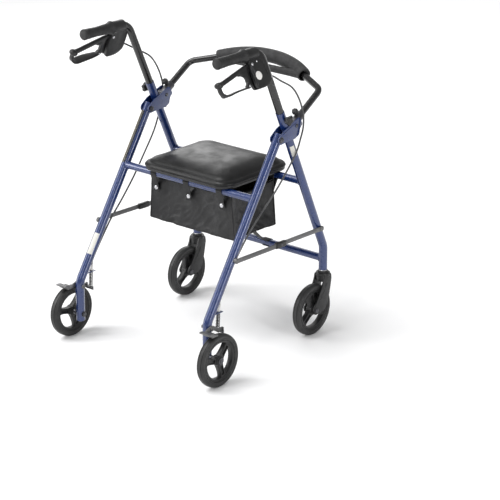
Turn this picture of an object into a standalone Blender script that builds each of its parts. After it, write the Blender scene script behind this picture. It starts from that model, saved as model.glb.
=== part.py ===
"""A rollator walker: folding steel frame on four wheels, with seat, bag, backrest and hand brakes.

Metres, +Z up, +Y forward, +X to the user's right.  The origin lies on the floor under the middle of the frame.
Each sub-part is one named object.  A part that moves has its origin on the axis that it turns about.
Side-plane places are (y, z) pairs; side is +1 for the right half and -1 for the left.
"""

import math

import bmesh
import bpy
from mathutils import Matrix, Vector

# ---------------------------------------------------------------- driving dimensions
GAP = 0.0003
LEG_X = 0.244
LEG_RADIUS = 0.0127
LEG_BORE = 0.0114
HANDLE_RADIUS = 0.0111
CROSS_RADIUS = 0.011
BACK_RADIUS = 0.0095
TUBE_BEND = 0.05

FRONT_FOOT = (0.2534, 0.1858)
FRONT_BEND = (0.2534, 0.2575)
FRONT_TOP = (0.0529, 0.7021)
REAR_FOOT = (-0.2530, 0.0553)
REAR_BEND = (-0.2523, 0.1735)
REAR_TOP = (0.0507, 0.6394)
FOLD_PIVOT = (0.0417, 0.6267)

SEAT_TUBE_Z = 0.478
LOWER_TUBE_Z = 0.220
REAR_SEAT_TUBE = (-0.0540, SEAT_TUBE_Z)
FRONT_SEAT_TUBE = (0.1541, SEAT_TUBE_Z)
FRONT_LOWER_TUBE = (0.2534, LOWER_TUBE_Z)

HANDLE_INSERT = 0.115
HANDLE_BORE_DEPTH = 0.222
GRIP_Z = 0.889
GRIP_FRONT = -0.098
GRIP_END = -0.2105
HANDLE_CORNER = (-0.0315, GRIP_Z)
HANDLE_BEND = 0.045
KNOB_POINT = (0.0629, 0.6800)

BRAKE_ROLL = math.radians(25.0)
LEVER_PIVOT = (-0.088, -0.027)
NOZZLE_ROOT = (0.0, -0.0400, -0.0660)
NOZZLE_TIP = (0.0, -0.0265, -0.0700)

CHEEK_INNER = 0.0130
CHEEK_OUTER = 0.0155
SOCKET_PIVOT = (0.1080, 0.6540)
BACKREST_RISE = math.radians(31.9)
SOCKET_RADIUS = 0.0125
SOCKET_LENGTH = 0.044
BACKREST_CORNER = (0.2286, 0.7290)
BACKREST_FRONT_Y = 0.2985
PAD_END_X = 0.1784
PAD_RADIUS = 0.0200
PAD_SLACK = 0.0006

BRACE_REAR_PIN = (-0.1505, 0.3300)
BRACE_FRONT_PIN = (0.2245, 0.3220)
BRACE_HALF_WIDTH = 0.0065
BRACE_THICKNESS = 0.0030

WHEEL_RADIUS = 0.0762
TYRE_HALF_WIDTH = 0.0125
TYRE_INNER = 0.0600
REAR_WHEEL_X = 0.282
REAR_WHEEL_Y = -0.2530
CASTER_STEM_Y = 0.2534
CASTER_TRAIL = 0.0513
AXLE_RADIUS = 0.0040
REAR_SPOKE = -42.0
FRONT_SPOKE = 8.0

SEAT_HALF_WIDTH = 0.1660
SEAT_REAR = -0.0830
SEAT_FRONT = 0.2060
SEAT_CORNER = 0.0420
BOARD_BOTTOM = 0.4895
BOARD_TOP = 0.4985
CUSHION_TOP = 0.5240

BAG_HALF_WIDTH = 0.1600
BAG_REAR = -0.0420
BAG_FRONT = 0.1390
BAG_BOTTOM = 0.3350
BAG_TOP = 0.4700
BAG_WALL = 0.0040

BRAKE_ARM_PIVOT = (-0.2524, 0.1620)
SPRING_TOP = (-0.2064, 0.1915)
SPRING_BOTTOM = (-0.2094, 0.1500)
CABLE_RADIUS = 0.0025

TUBE_SIDES = 16
PIN_SIDES = 10
WHEEL_SIDES = 32

# ---------------------------------------------------------------- scene, materials, collections
for old in list(bpy.data.objects):
    bpy.data.objects.remove(old, do_unlink=True)

COLLECTION = bpy.data.collections.new("rollator_walker")
bpy.context.scene.collection.children.link(COLLECTION)


def material(name, color, roughness, metallic=0.0):
    made = bpy.data.materials.new(name)
    made.use_nodes = True
    shader = made.node_tree.nodes["Principled BSDF"]
    shader.inputs["Base Color"].default_value = (*color, 1.0)
    shader.inputs["Roughness"].default_value = roughness
    shader.inputs["Metallic"].default_value = metallic
    return made


BLUE = material("frame_blue", (0.020, 0.040, 0.240), 0.25, 0.6)
BLACK_TUBE = material("black_tube", (0.015, 0.015, 0.017), 0.25, 0.3)
BLACK_PLASTIC = material("black_plastic", (0.020, 0.020, 0.022), 0.5)
GREY_METAL = material("grey_metal", (0.12, 0.12, 0.13), 0.45, 0.6)
STEEL = material("bright_steel", (0.55, 0.55, 0.57), 0.3, 1.0)
RUBBER = material("tyre_rubber", (0.035, 0.035, 0.038), 0.6)
FOAM = material("foam", (0.035, 0.035, 0.038), 0.9)
VINYL = material("vinyl", (0.012, 0.012, 0.013), 0.35)
NYLON = material("nylon", (0.010, 0.010, 0.012), 0.55)
CABLE = material("cable_sheath", (0.06, 0.06, 0.065), 0.5)

SIDES = (("right", 1), ("left", -1))
TO_SIDE_PLANE = Matrix(((0, 0, 1, 0), (1, 0, 0, 0), (0, 1, 0, 0), (0, 0, 0, 1)))


# ---------------------------------------------------------------- modelling helpers
def link(obj):
    COLLECTION.objects.link(obj)
    return obj


def baked(obj):
    """Return obj as a plain mesh object in world space, with its modifiers applied and its caps welded."""
    bpy.context.view_layer.update()
    evaluated = obj.evaluated_get(bpy.context.evaluated_depsgraph_get())
    mesh = bpy.data.meshes.new_from_object(evaluated)
    mesh.transform(obj.matrix_world)
    editable = bmesh.new()
    editable.from_mesh(mesh)
    bmesh.ops.remove_doubles(editable, verts=editable.verts, dist=1e-6)
    bmesh.ops.recalc_face_normals(editable, faces=editable.faces)
    editable.to_mesh(mesh)
    editable.free()
    bpy.data.objects.remove(obj, do_unlink=True)
    return link(bpy.data.objects.new("solid", mesh))


def combine(obj, tool, operation):
    """Boolean one solid with another, remove the tool and return the result."""
    modifier = obj.modifiers.new("cut", "BOOLEAN")
    modifier.operation = operation
    modifier.solver = "EXACT"
    modifier.object = tool
    result = baked(obj)
    bpy.data.objects.remove(tool, do_unlink=True)
    return result


def cut(obj, *tools):
    for tool in tools:
        obj = combine(obj, tool, "DIFFERENCE")
    return obj


def join(obj, *tools):
    for tool in tools:
        obj = combine(obj, tool, "UNION")
    return obj


def bevelled(obj, width, segments=2):
    modifier = obj.modifiers.new("round_edges", "BEVEL")
    modifier.width = width
    modifier.segments = segments
    modifier.limit_method = "ANGLE"
    modifier.angle_limit = math.radians(40)
    return baked(obj)


def part(obj, name, look, origin=(0.0, 0.0, 0.0), sharp=35):
    """Name a finished solid, give it its material and put its origin on its axis."""
    obj.name = name
    obj.data.name = name
    obj.data.materials.clear()
    obj.data.materials.append(look)
    obj.data.transform(Matrix.Translation(-Vector(origin)))
    obj.location = origin
    obj.data.shade_smooth()
    obj.data.set_sharp_from_angle(angle=math.radians(sharp))
    return obj


def aimed(centre, direction):
    """A placement at centre whose local Z points along direction."""
    turn = Vector((0, 0, 1)).rotation_difference(Vector(direction)).to_matrix().to_4x4()
    return Matrix.Translation(Vector(centre)) @ turn


def cylinder(start, end, radius, sides=TUBE_SIDES, end_radius=None):
    start, end = Vector(start), Vector(end)
    mesh = bpy.data.meshes.new("cylinder")
    shape = bmesh.new()
    top = radius if end_radius is None else end_radius
    depth = (end - start).length
    bmesh.ops.create_cone(
        shape, cap_ends=True, segments=sides, radius1=radius, radius2=top, depth=depth
    )
    shape.to_mesh(mesh)
    shape.free()
    mesh.transform(aimed((start + end) / 2, end - start))
    return link(bpy.data.objects.new("cylinder", mesh))


def box(low, high):
    low, high = Vector(low), Vector(high)
    mesh = bpy.data.meshes.new("box")
    shape = bmesh.new()
    bmesh.ops.create_cube(shape, size=1.0)
    shape.to_mesh(mesh)
    shape.free()
    size = high - low
    mesh.transform(Matrix.Translation((low + high) / 2) @ Matrix.Diagonal((*size, 1.0)))
    return link(bpy.data.objects.new("box", mesh))


def turned(profile, centre, direction, steps=TUBE_SIDES, closed=False):
    """Turn a (radius, height) profile, listed down its outer side, about an axis through centre."""
    mesh = bpy.data.meshes.new("profile")
    count = len(profile)
    edges = [(i, (i + 1) % count) for i in range(count if closed else count - 1)]
    mesh.from_pydata([(r, 0.0, h) for r, h in profile], edges, [])
    obj = link(bpy.data.objects.new("turned", mesh))
    screw = obj.modifiers.new("turn", "SCREW")
    screw.steps = steps
    screw.render_steps = steps
    screw.use_merge_vertices = True
    screw.merge_threshold = 1e-5
    obj.matrix_world = aimed(centre, direction)
    return baked(obj)


def rounded_path(corners, radius, steps=4):
    """Replace each inner corner of a 3D polyline by an arc of the given radius."""
    corners = [Vector(c) for c in corners]
    path = [corners[0]]
    for before, corner, after in zip(corners, corners[1:], corners[2:]):
        back = (before - corner).normalized()
        ahead = (after - corner).normalized()
        half = back.angle(ahead) / 2
        middle = (back + ahead).normalized()
        centre = corner + middle * (radius / math.sin(half))
        first = corner + back * (radius / math.tan(half)) - centre
        last = corner + ahead * (radius / math.tan(half)) - centre
        sweep = first.angle(last)
        for i in range(steps + 1):
            share = i / steps
            start_part = math.sin((1 - share) * sweep) / math.sin(sweep)
            end_part = math.sin(share * sweep) / math.sin(sweep)
            path.append(centre + first * start_part + last * end_part)
    return path + [corners[-1]]


def tube(path, radius, sides=TUBE_SIDES):
    """A solid round bar along a path of points."""
    curve = bpy.data.curves.new("tube", "CURVE")
    curve.dimensions = "3D"
    curve.bevel_depth = radius
    curve.bevel_resolution = sides // 2 - 2
    curve.use_fill_caps = True
    spline = curve.splines.new("POLY")
    spline.points.add(len(path) - 1)
    for point, place in zip(spline.points, path):
        point.co = (*place, 1.0)
    return baked(link(bpy.data.objects.new("tube", curve)))


def smooth_path(points, per_span=4):
    """Points on a smooth curve through the given ones (Catmull-Rom)."""
    points = [Vector(p) for p in points]
    points = [2 * points[0] - points[1]] + points + [2 * points[-1] - points[-2]]
    path = []
    for p0, p1, p2, p3 in zip(points, points[1:], points[2:], points[3:]):
        for i in range(per_span):
            t = i / per_span
            path.append(
                0.5 * (2 * p1 + (p2 - p0) * t + (2 * p0 - 5 * p1 + 4 * p2 - p3) * t**2
                       + (3 * p1 - p0 - 3 * p2 + p3) * t**3)
            )
    return path + [points[-2]]


def plate(outlines, low, high, placement=TO_SIDE_PLANE):
    """A flat plate from closed (y, z) outlines; the second outline and later ones are holes in the first."""
    curve = bpy.data.curves.new("plate", "CURVE")
    curve.dimensions = "2D"
    curve.fill_mode = "BOTH"
    curve.extrude = (high - low) / 2
    for outline in outlines:
        spline = curve.splines.new("POLY")
        spline.points.add(len(outline) - 1)
        spline.use_cyclic_u = True
        for point, place in zip(spline.points, outline):
            point.co = (*place, 0.0, 1.0)
    obj = link(bpy.data.objects.new("plate", curve))
    obj.matrix_world = placement @ Matrix.Translation((0, 0, (low + high) / 2))
    return baked(obj)


def arc(centre, radius, start_deg, end_deg, steps=6):
    points = []
    for i in range(steps + 1):
        angle = math.radians(start_deg + (end_deg - start_deg) * i / steps)
        points.append((centre[0] + radius * math.cos(angle), centre[1] + radius * math.sin(angle)))
    return points


def rounded_box(half_x, y_low, y_high, corner, steps=5):
    """The outline, in X and Y, of a rectangle with round corners."""
    x, low, high = half_x - corner, y_low + corner, y_high - corner
    return (
        arc((x, high), corner, 0, 90, steps)
        + arc((-x, high), corner, 90, 180, steps)
        + arc((-x, low), corner, 180, 270, steps)
        + arc((x, low), corner, 270, 360, steps)
    )


def along_front_leg(distance, side=1, x=LEG_X):
    """The point on a front leg's axis that lies this far below its top end."""
    top = Vector((side * x, *FRONT_TOP))
    bend = Vector((side * x, *FRONT_BEND))
    return top + (bend - top).normalized() * distance


def at(side, x, place):
    return Vector((side * x, place[0], place[1]))


# ---------------------------------------------------------------- frame tubes
def handle_path(side, below=HANDLE_INSERT):
    corners = [along_front_leg(below, side), at(side, LEG_X, HANDLE_CORNER), at(side, LEG_X, (-0.203, GRIP_Z))]
    return rounded_path(corners, HANDLE_BEND, 6)


def front_leg_path(side, radius=TUBE_BEND):
    corners = [at(side, LEG_X, p) for p in (FRONT_FOOT, FRONT_BEND, FRONT_TOP)]
    return rounded_path(corners, radius)


def rear_leg_path(side):
    corners = [at(side, LEG_X, p) for p in (REAR_FOOT, REAR_BEND, REAR_TOP)]
    return rounded_path(corners, TUBE_BEND)


def front_leg(name, side):
    """A bent tube, bored at the top for the handle tube and at the foot for the caster stem."""
    leg = tube(front_leg_path(side), LEG_RADIUS)
    foot = at(side, LEG_X, FRONT_FOOT)
    knob = at(side, LEG_X, KNOB_POINT)
    leg = cut(
        leg,
        cylinder(along_front_leg(-0.01, side), along_front_leg(HANDLE_BORE_DEPTH, side), LEG_BORE),
        cylinder(foot - Vector((0, 0, 0.01)), foot + Vector((0, 0, 0.050)), 0.0088),
        cylinder(knob, knob + Vector((side * 0.02, 0, 0)), 0.0033, PIN_SIDES),
    )
    return part(leg, f"front_leg_{name}", BLUE)


def cable_anchor(side):
    """The tab on a rear leg that holds the brake cable's end over its spring."""
    tab = box((LEG_X - 0.009, -0.2360, 0.1925), (LEG_X + 0.009, -0.1960, 0.1950))
    hole = cylinder((LEG_X, -0.2055, 0.18), (LEG_X, -0.2055, 0.21), 0.0022, 10)
    tab = cut(bevelled(tab, 0.0008, 1), hole)
    tab.data.transform(Matrix.Diagonal((side, 1, 1, 1)))
    return baked(tab)


def rear_leg(name, side):
    leg = tube(rear_leg_path(side), LEG_RADIUS)
    leg = join(leg, cable_anchor(side))
    reach = Vector((0.03, 0, 0))
    pivot, axle, arm = (
        at(side, LEG_X, FOLD_PIVOT),
        at(side, LEG_X, (REAR_WHEEL_Y, WHEEL_RADIUS)),
        at(side, LEG_X, BRAKE_ARM_PIVOT),
    )
    leg = cut(
        leg,
        cylinder(pivot - reach, pivot + reach, 0.0043, PIN_SIDES),
        cylinder(axle - reach, axle + reach, AXLE_RADIUS + GAP, PIN_SIDES),
        cylinder(arm - reach, arm + reach, 0.0033, PIN_SIDES),
    )
    return part(leg, f"rear_leg_{name}", BLUE, at(side, LEG_X, FOLD_PIVOT))


def cross_tube(name, place, leg_path, radius=CROSS_RADIUS, origin=(0.0, 0.0, 0.0)):
    """A tube between the two legs, with ends coped to fit round them."""
    bar = cylinder((-LEG_X, *place), (LEG_X, *place), radius)
    for _, side in SIDES:
        bar = cut(bar, tube(leg_path(side), LEG_RADIUS + GAP))
    return part(bar, name, BLUE, origin)


def side_bracket(name, side):
    """Two cheeks, joined by a web in front, that hold the rear leg's pivot and the backrest socket."""
    outline = arc(FOLD_PIVOT, 0.0125, 285, 125) + [
        (0.0560, 0.6520),
        (0.1020, 0.6700),
        (0.1210, 0.6760),
        (0.1330, 0.6560),
        (0.1240, 0.6440),
        (0.1205, 0.6300),
        (0.1130, 0.6230),
        (0.0980, 0.6180),
        (0.0730, 0.6172),
    ]
    body = plate([outline], LEG_X - CHEEK_OUTER, LEG_X + CHEEK_OUTER)
    web_low, web_high = 0.6290, 0.6315
    web_rear, web_front = 0.1060, 0.1190
    inner_low, inner_high = LEG_X - CHEEK_INNER, LEG_X + CHEEK_INNER
    body = cut(
        body,
        box((inner_low, 0.0, 0.55), (inner_high, web_rear, 0.75)),
        box((inner_low, 0.05, web_high), (inner_high, 0.20, 0.75)),
        box((inner_low, 0.05, 0.55), (inner_high, 0.20, web_low)),
        box((inner_low, web_front, 0.55), (inner_high, 0.20, 0.75)),
    )
    reach = Vector((0.03, 0, 0))
    pivot, hinge = Vector((LEG_X, *FOLD_PIVOT)), Vector((LEG_X, *SOCKET_PIVOT))
    body = cut(
        body,
        cylinder(pivot - reach, pivot + reach, 0.0043, PIN_SIDES),
        cylinder(hinge - reach, hinge + reach, 0.0033, PIN_SIDES),
        cylinder((LEG_X, 0.1148, 0.61), (LEG_X, 0.1148, 0.64), 0.0033, PIN_SIDES),
    )
    body.data.transform(Matrix.Diagonal((side, 1, 1, 1)))
    return part(baked(body), f"side_bracket_{name}", BLUE)


def bolt(place, side, radius, head_radius, head, nut_radius, nut, look, name, origin=None):
    """A domed bolt along X through a stack; head and nut are (near, far) distances out and in from the leg."""
    profile = [
        (0.0, head[1]),
        (head_radius * 0.6, head[1] - 0.0006),
        (head_radius, head[1] - (head[1] - head[0]) * 0.6),
        (head_radius, head[0]),
        (radius, head[0]),
        (radius, -nut[0]),
        (nut_radius, -nut[0]),
        (nut_radius, -nut[1]),
        (0.0, -nut[1]),
    ]
    pin = turned(profile, at(side, LEG_X, place), (side, 0, 0), PIN_SIDES)
    return part(pin, name, look, origin or at(side, LEG_X, place))


# ---------------------------------------------------------------- backrest
def backrest_frame(side):
    """The socket's hinge point and its two in-plane directions, along the tube and square to it."""
    hinge = at(side, LEG_X, SOCKET_PIVOT)
    ahead = Vector((0, math.cos(BACKREST_RISE), math.sin(BACKREST_RISE)))
    up = Vector((0, -math.sin(BACKREST_RISE), math.cos(BACKREST_RISE)))
    return hinge, ahead, up


def backrest_socket(name, side):
    hinge, ahead, up = backrest_frame(side)
    width = Vector((SOCKET_RADIUS, 0, 0))
    sleeve = join(
        cylinder(hinge, hinge + ahead * SOCKET_LENGTH, SOCKET_RADIUS),
        cylinder(hinge - width, hinge + width, SOCKET_RADIUS),
    )
    clamp = hinge + ahead * 0.0282
    sleeve = cut(
        sleeve,
        cylinder(hinge + ahead * 0.013, hinge + ahead * 0.06, BACK_RADIUS + GAP),
        cylinder(hinge - 2 * width, hinge + 2 * width, 0.0033, PIN_SIDES),
        cylinder(clamp, clamp + up * 0.02, 0.0033, PIN_SIDES),
    )
    return part(sleeve, f"backrest_socket_{name}", GREY_METAL, hinge)


def backrest_path():
    """Up both sockets, round two corners and across in a shallow bow."""
    hinge, ahead, _ = backrest_frame(1)
    slope = math.tan(BACKREST_RISE)
    corner = Vector((LEG_X, *BACKREST_CORNER))

    def bow(x):
        y = BACKREST_FRONT_Y - (BACKREST_FRONT_Y - 0.2517) * abs(x / PAD_END_X) ** 2.2
        return Vector((x, y, BACKREST_CORNER[1] + (y - BACKREST_CORNER[0]) * slope))

    start = hinge + ahead * 0.0145
    right = rounded_path([start, corner, bow(0.155)], 0.026, 5)[:-1]
    across = [bow(PAD_END_X * (5 - i) / 5.5) for i in range(11)]
    left = [Vector((-p.x, p.y, p.z)) for p in reversed(right)]
    return right, across, left


def backrest_tube():
    right, across, left = backrest_path()
    hinge, _, _ = backrest_frame(1)
    return part(tube(right + across + left, BACK_RADIUS, 12), "backrest_tube", BLACK_TUBE, (0, *hinge.yz))


def backrest_pad():
    """A foam sleeve over the bow, open at both ends."""
    right, across, left = backrest_path()
    hinge, _, _ = backrest_frame(1)
    outer = bevelled(tube(across, PAD_RADIUS), 0.003, 1)
    inner = tube(right + across + left, BACK_RADIUS + PAD_SLACK, 12)
    return part(cut(outer, inner), "backrest_pad", FOAM, (0, *hinge.yz))


def backrest_lock_knob(name, side):
    hinge, ahead, up = backrest_frame(side)
    root = hinge + ahead * 0.0282
    profile = [
        (0.0, 0.0310),
        (0.0055, 0.0302),
        (0.0085, 0.0270),
        (0.0085, 0.0180),
        (0.0050, 0.0150),
        (0.0050, SOCKET_RADIUS + GAP),
        (0.0030, SOCKET_RADIUS + GAP),
        (0.0030, BACK_RADIUS + 2 * GAP),
        (0.0, BACK_RADIUS + 2 * GAP),
    ]
    return part(turned(profile, root, up, 12), f"backrest_lock_knob_{name}", BLACK_PLASTIC, root)


def backrest_release_pin(name, side):
    root = at(side, LEG_X, (0.1148, 0.6335))
    profile = [
        (0.0, 0.0),
        (0.0030, 0.0),
        (0.0030, -0.0048),
        (0.0050, -0.0048),
        (0.0072, -0.0085),
        (0.0065, -0.0190),
        (0.0040, -0.0210),
        (0.0, -0.0212),
    ]
    return part(turned(profile, root, (0, 0, 1), 12), f"backrest_release_pin_{name}", BLACK_PLASTIC, root)


# ---------------------------------------------------------------- handles and hand brakes
def brake_placement(side):
    """The brake's plane: local X out, local Y forward and local Z up, from the grip's axis."""
    return Matrix.Translation((side * LEG_X, 0, GRIP_Z)) @ Matrix.Rotation(-side * BRAKE_ROLL, 4, "Y")


def brake_part(obj, name, side, look):
    """Mirror a piece drawn for the right brake where needed, and put it in the brake's plane."""
    obj.data.transform(brake_placement(side) @ Matrix.Diagonal((side, 1, 1, 1)))
    return part(baked(obj), name, look, brake_placement(side) @ Vector((0, *LEVER_PIVOT)))


def handle_tube(name, side):
    return part(tube(handle_path(side), HANDLE_RADIUS), f"handle_tube_{name}", BLACK_TUBE)


def grip(name, side):
    length = GRIP_FRONT - GRIP_END
    profile = [
        (0.0, length),
        (HANDLE_RADIUS + GAP, length),
        (0.0190, length),
        (0.0195, length - 0.0020),
        (0.0170, length - 0.0080),
        (0.0148, length - 0.0150),
        (0.0142, length * 0.5),
        (0.0150, 0.0120),
        (0.0158, 0.0060),
        (0.0140, 0.0010),
        (0.0, 0.0),
    ]
    end = at(side, LEG_X, (GRIP_END, GRIP_Z))
    handle = turned(profile, end, (0, 1, 0))
    bore_start, bore_end = end + Vector((0, 0.0070, 0)), end + Vector((0, length + 0.01, 0))
    handle = cut(handle, cylinder(bore_start, bore_end, HANDLE_RADIUS + GAP))
    return part(handle, f"grip_{name}", BLACK_PLASTIC)


def brake_housing(name, side):
    """A flat body under the handle bar, with a clamp round the bar and a slot for the lever."""
    outline = [
        (-0.0965, 0.0100),
        (-0.0500, 0.0100),
        (-0.0340, -0.0150),
        (-0.0310, -0.0350),
        (-0.0310, -0.0700),
        (-0.0345, -0.0790),
        (-0.0430, -0.0870),
        (-0.0560, -0.0930),
        (-0.0700, -0.0950),
        (-0.0880, -0.0945),
        (-0.0960, -0.0880),
        (-0.0985, -0.0600),
        (-0.1020, -0.0380),
        (-0.0965, -0.0230),
    ]
    body = bevelled(plate([outline], -0.0115, 0.0115), 0.003, 1)
    clamp = cylinder((0, -0.0968, 0), (0, -0.0520, 0), 0.0165)
    nozzle = cylinder(NOZZLE_ROOT, NOZZLE_TIP, 0.0042, 8)
    body = join(body, clamp, nozzle)
    slot = box((-0.0036, -0.13, -0.11), (0.0036, -0.0710, -0.0135))
    pin = cylinder((-0.02, *LEVER_PIVOT), (0.02, *LEVER_PIVOT), 0.0028, PIN_SIDES)
    bar = tube(handle_path(1, 0.0), HANDLE_RADIUS + GAP)
    bar.data.transform(brake_placement(1).inverted())
    return brake_part(cut(body, slot, pin, bar), f"brake_housing_{name}", side, BLACK_PLASTIC)


def brake_lever(name, side):
    """A loop for the fingers: a thick upper bar, a broad lower band and a ball at the end."""
    outer = arc(LEVER_PIVOT, 0.0090, 290, 110) + [
        (-0.1180, -0.0245),
        (-0.2060, -0.0455),
        (-0.2300, -0.0600),
        (-0.2320, -0.0750),
        (-0.2200, -0.0870),
        (-0.2050, -0.0890),
        (-0.1280, -0.0850),
        (-0.1080, -0.0840),
        (-0.1040, -0.0780),
        (-0.1040, -0.0450),
        (-0.0980, -0.0370),
    ]
    hole = [
        (-0.1180, -0.0480),
        (-0.1260, -0.0420),
        (-0.2040, -0.0600),
        (-0.2230, -0.0680),
        (-0.2240, -0.0760),
        (-0.2160, -0.0830),
        (-0.2040, -0.0840),
        (-0.1280, -0.0800),
        (-0.1170, -0.0760),
    ]
    band = [
        (-0.1280, -0.0858),
        (-0.1280, -0.0806),
        (-0.1650, -0.0820),
        (-0.2040, -0.0855),
        (-0.2170, -0.0840),
        (-0.2245, -0.0780),
        (-0.2275, -0.0690),
        (-0.2330, -0.0690),
        (-0.2310, -0.0800),
        (-0.2205, -0.0890),
        (-0.2050, -0.0910),
        (-0.1650, -0.0870),
    ]
    bar = [
        (-0.1140, -0.0260),
        (-0.2060, -0.0462),
        (-0.2240, -0.0520),
        (-0.2240, -0.0605),
        (-0.2050, -0.0590),
        (-0.1250, -0.0405),
        (-0.1140, -0.0420),
    ]
    ball = bpy.data.meshes.new("ball")
    shape = bmesh.new()
    bmesh.ops.create_uvsphere(shape, u_segments=12, v_segments=8, radius=1.0)
    shape.to_mesh(ball)
    shape.free()
    ball.transform(Matrix.Translation((0, -0.2265, -0.0540)) @ Matrix.Diagonal((0.0105, 0.0125, 0.0085, 1.0)))
    lever = join(
        plate([outer, hole], -0.003, 0.003),
        bevelled(plate([bar], -0.0058, 0.0058), 0.0020, 1),
        bevelled(plate([band], -0.0135, 0.0135), 0.0015, 1),
        link(bpy.data.objects.new("ball", ball)),
    )
    lever = cut(lever, cylinder((-0.02, *LEVER_PIVOT), (0.02, *LEVER_PIVOT), 0.0028, PIN_SIDES))
    return brake_part(lever, f"brake_lever_{name}", side, BLACK_PLASTIC)


def lever_pin(name, side):
    profile = [
        (0.0, 0.0128),
        (0.0040, 0.0124),
        (0.0040, 0.0118),
        (0.0025, 0.0118),
        (0.0025, -0.0118),
        (0.0040, -0.0118),
        (0.0040, -0.0124),
        (0.0, -0.0128),
    ]
    pin = turned(profile, (0, *LEVER_PIVOT), (1, 0, 0), 12)
    return brake_part(pin, f"lever_pin_{name}", side, STEEL)


def height_knob(name, side):
    """A five-lobed screw knob whose shank clamps the handle tube."""
    lobes = []
    for i in range(25):
        angle = 2 * math.pi * i / 25
        radius = 0.0125 + 0.0018 * math.cos(5 * angle)
        lobes.append((KNOB_POINT[0] + radius * math.cos(angle), KNOB_POINT[1] + radius * math.sin(angle)))
    head = bevelled(plate([lobes], LEG_X + 0.0190, LEG_X + 0.0300), 0.002, 1)
    root = Vector((LEG_X, *KNOB_POINT))
    outward = Vector((1, 0, 0))
    neck = cylinder(root + outward * (LEG_RADIUS + GAP), root + outward * 0.0200, 0.0065, 12)
    shank = cylinder(root + outward * (HANDLE_RADIUS + 2 * GAP), root + outward * 0.0180, 0.0030, PIN_SIDES)
    knob = join(head, neck, shank)
    knob.data.transform(Matrix.Diagonal((side, 1, 1, 1)))
    return part(baked(knob), f"height_knob_{name}", BLACK_PLASTIC, at(side, LEG_X, KNOB_POINT))


# ---------------------------------------------------------------- braces
def brace(name, side, pin, far, near_x, stub):
    """A flat bar with round ends from its pin to the elbow, and a round stub at the pin against the leg."""
    direction = math.degrees(math.atan2(far[1] - pin[1], far[0] - pin[0]))
    outline = arc(pin, BRACE_HALF_WIDTH, direction + 90, direction + 270) + arc(
        far, BRACE_HALF_WIDTH, direction - 90, direction + 90
    )
    bar = bevelled(plate([outline], near_x, near_x + BRACE_THICKNESS), 0.0008, 1)
    root = Vector((0, *pin))
    outward = Vector((1, 0, 0))
    boss = cylinder(root + outward * stub[0], root + outward * stub[1], 0.0078, 12)
    bar = join(bar, boss)
    bar.data.transform(Matrix.Diagonal((side, 1, 1, 1)))
    return part(baked(bar), name, GREY_METAL, at(side, near_x, pin))


def braces(name, side):
    elbow = ((BRACE_REAR_PIN[0] + BRACE_FRONT_PIN[0]) / 2, (BRACE_REAR_PIN[1] + BRACE_FRONT_PIN[1]) / 2)
    leg_face = LEG_X + LEG_RADIUS + GAP
    inner, outer = leg_face + 0.0015, leg_face + 0.0052
    brace(f"brace_front_{name}", side, BRACE_FRONT_PIN, elbow, inner, (leg_face, outer + 0.0015))
    brace(f"brace_rear_{name}", side, BRACE_REAR_PIN, elbow, outer, (leg_face, outer + 0.0045))


# ---------------------------------------------------------------- seat and bag
def upright(outline, low, high):
    return plate([outline], low, high, Matrix.Identity(4))


def seat_base():
    """The board under the cushion, with two loops round the front seat tube that it tips about."""
    inset = 0.004
    outline = rounded_box(SEAT_HALF_WIDTH - inset, SEAT_REAR + inset, SEAT_FRONT - inset, SEAT_CORNER)
    board = bevelled(upright(outline, BOARD_BOTTOM, BOARD_TOP), 0.002, 1)
    for x in (-0.110, 0.110):
        loop = cylinder((x - 0.0125, *FRONT_SEAT_TUBE), (x + 0.0125, *FRONT_SEAT_TUBE), 0.0138)
        board = join(board, loop)
    for x in (-0.110, 0.110):
        hole = cylinder((x - 0.02, *FRONT_SEAT_TUBE), (x + 0.02, *FRONT_SEAT_TUBE), CROSS_RADIUS + GAP)
        board = cut(board, hole)
    return part(board, "seat_base", BLACK_PLASTIC, (0, *FRONT_SEAT_TUBE))


def seat_cushion():
    outline = rounded_box(SEAT_HALF_WIDTH, SEAT_REAR, SEAT_FRONT, SEAT_CORNER)
    cushion = bevelled(upright(outline, BOARD_TOP + GAP, CUSHION_TOP), 0.011, 3)
    return part(cushion, "seat_cushion", VINYL, (0, *FRONT_SEAT_TUBE))


def bag():
    outer = upright(rounded_box(BAG_HALF_WIDTH, BAG_REAR, BAG_FRONT, 0.012, 3), BAG_BOTTOM, BAG_TOP)
    wall = BAG_WALL
    inner = upright(
        rounded_box(BAG_HALF_WIDTH - wall, BAG_REAR + wall, BAG_FRONT - wall, 0.008, 3),
        BAG_BOTTOM + wall,
        BAG_TOP + 0.02,
    )
    return part(cut(outer, inner), "bag", NYLON)


# ---------------------------------------------------------------- wheels and casters
def tyre(name, centre):
    half = TYRE_HALF_WIDTH
    profile = [
        (WHEEL_RADIUS - 0.0055, half),
        (WHEEL_RADIUS - 0.0018, half * 0.72),
        (WHEEL_RADIUS, half * 0.36),
        (WHEEL_RADIUS, -half * 0.36),
        (WHEEL_RADIUS - 0.0018, -half * 0.72),
        (WHEEL_RADIUS - 0.0055, -half),
        (TYRE_INNER, -half * 0.80),
        (TYRE_INNER, half * 0.80),
    ]
    return part(turned(profile, centre, (1, 0, 0), WHEEL_SIDES, True), name, RUBBER, centre)


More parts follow.
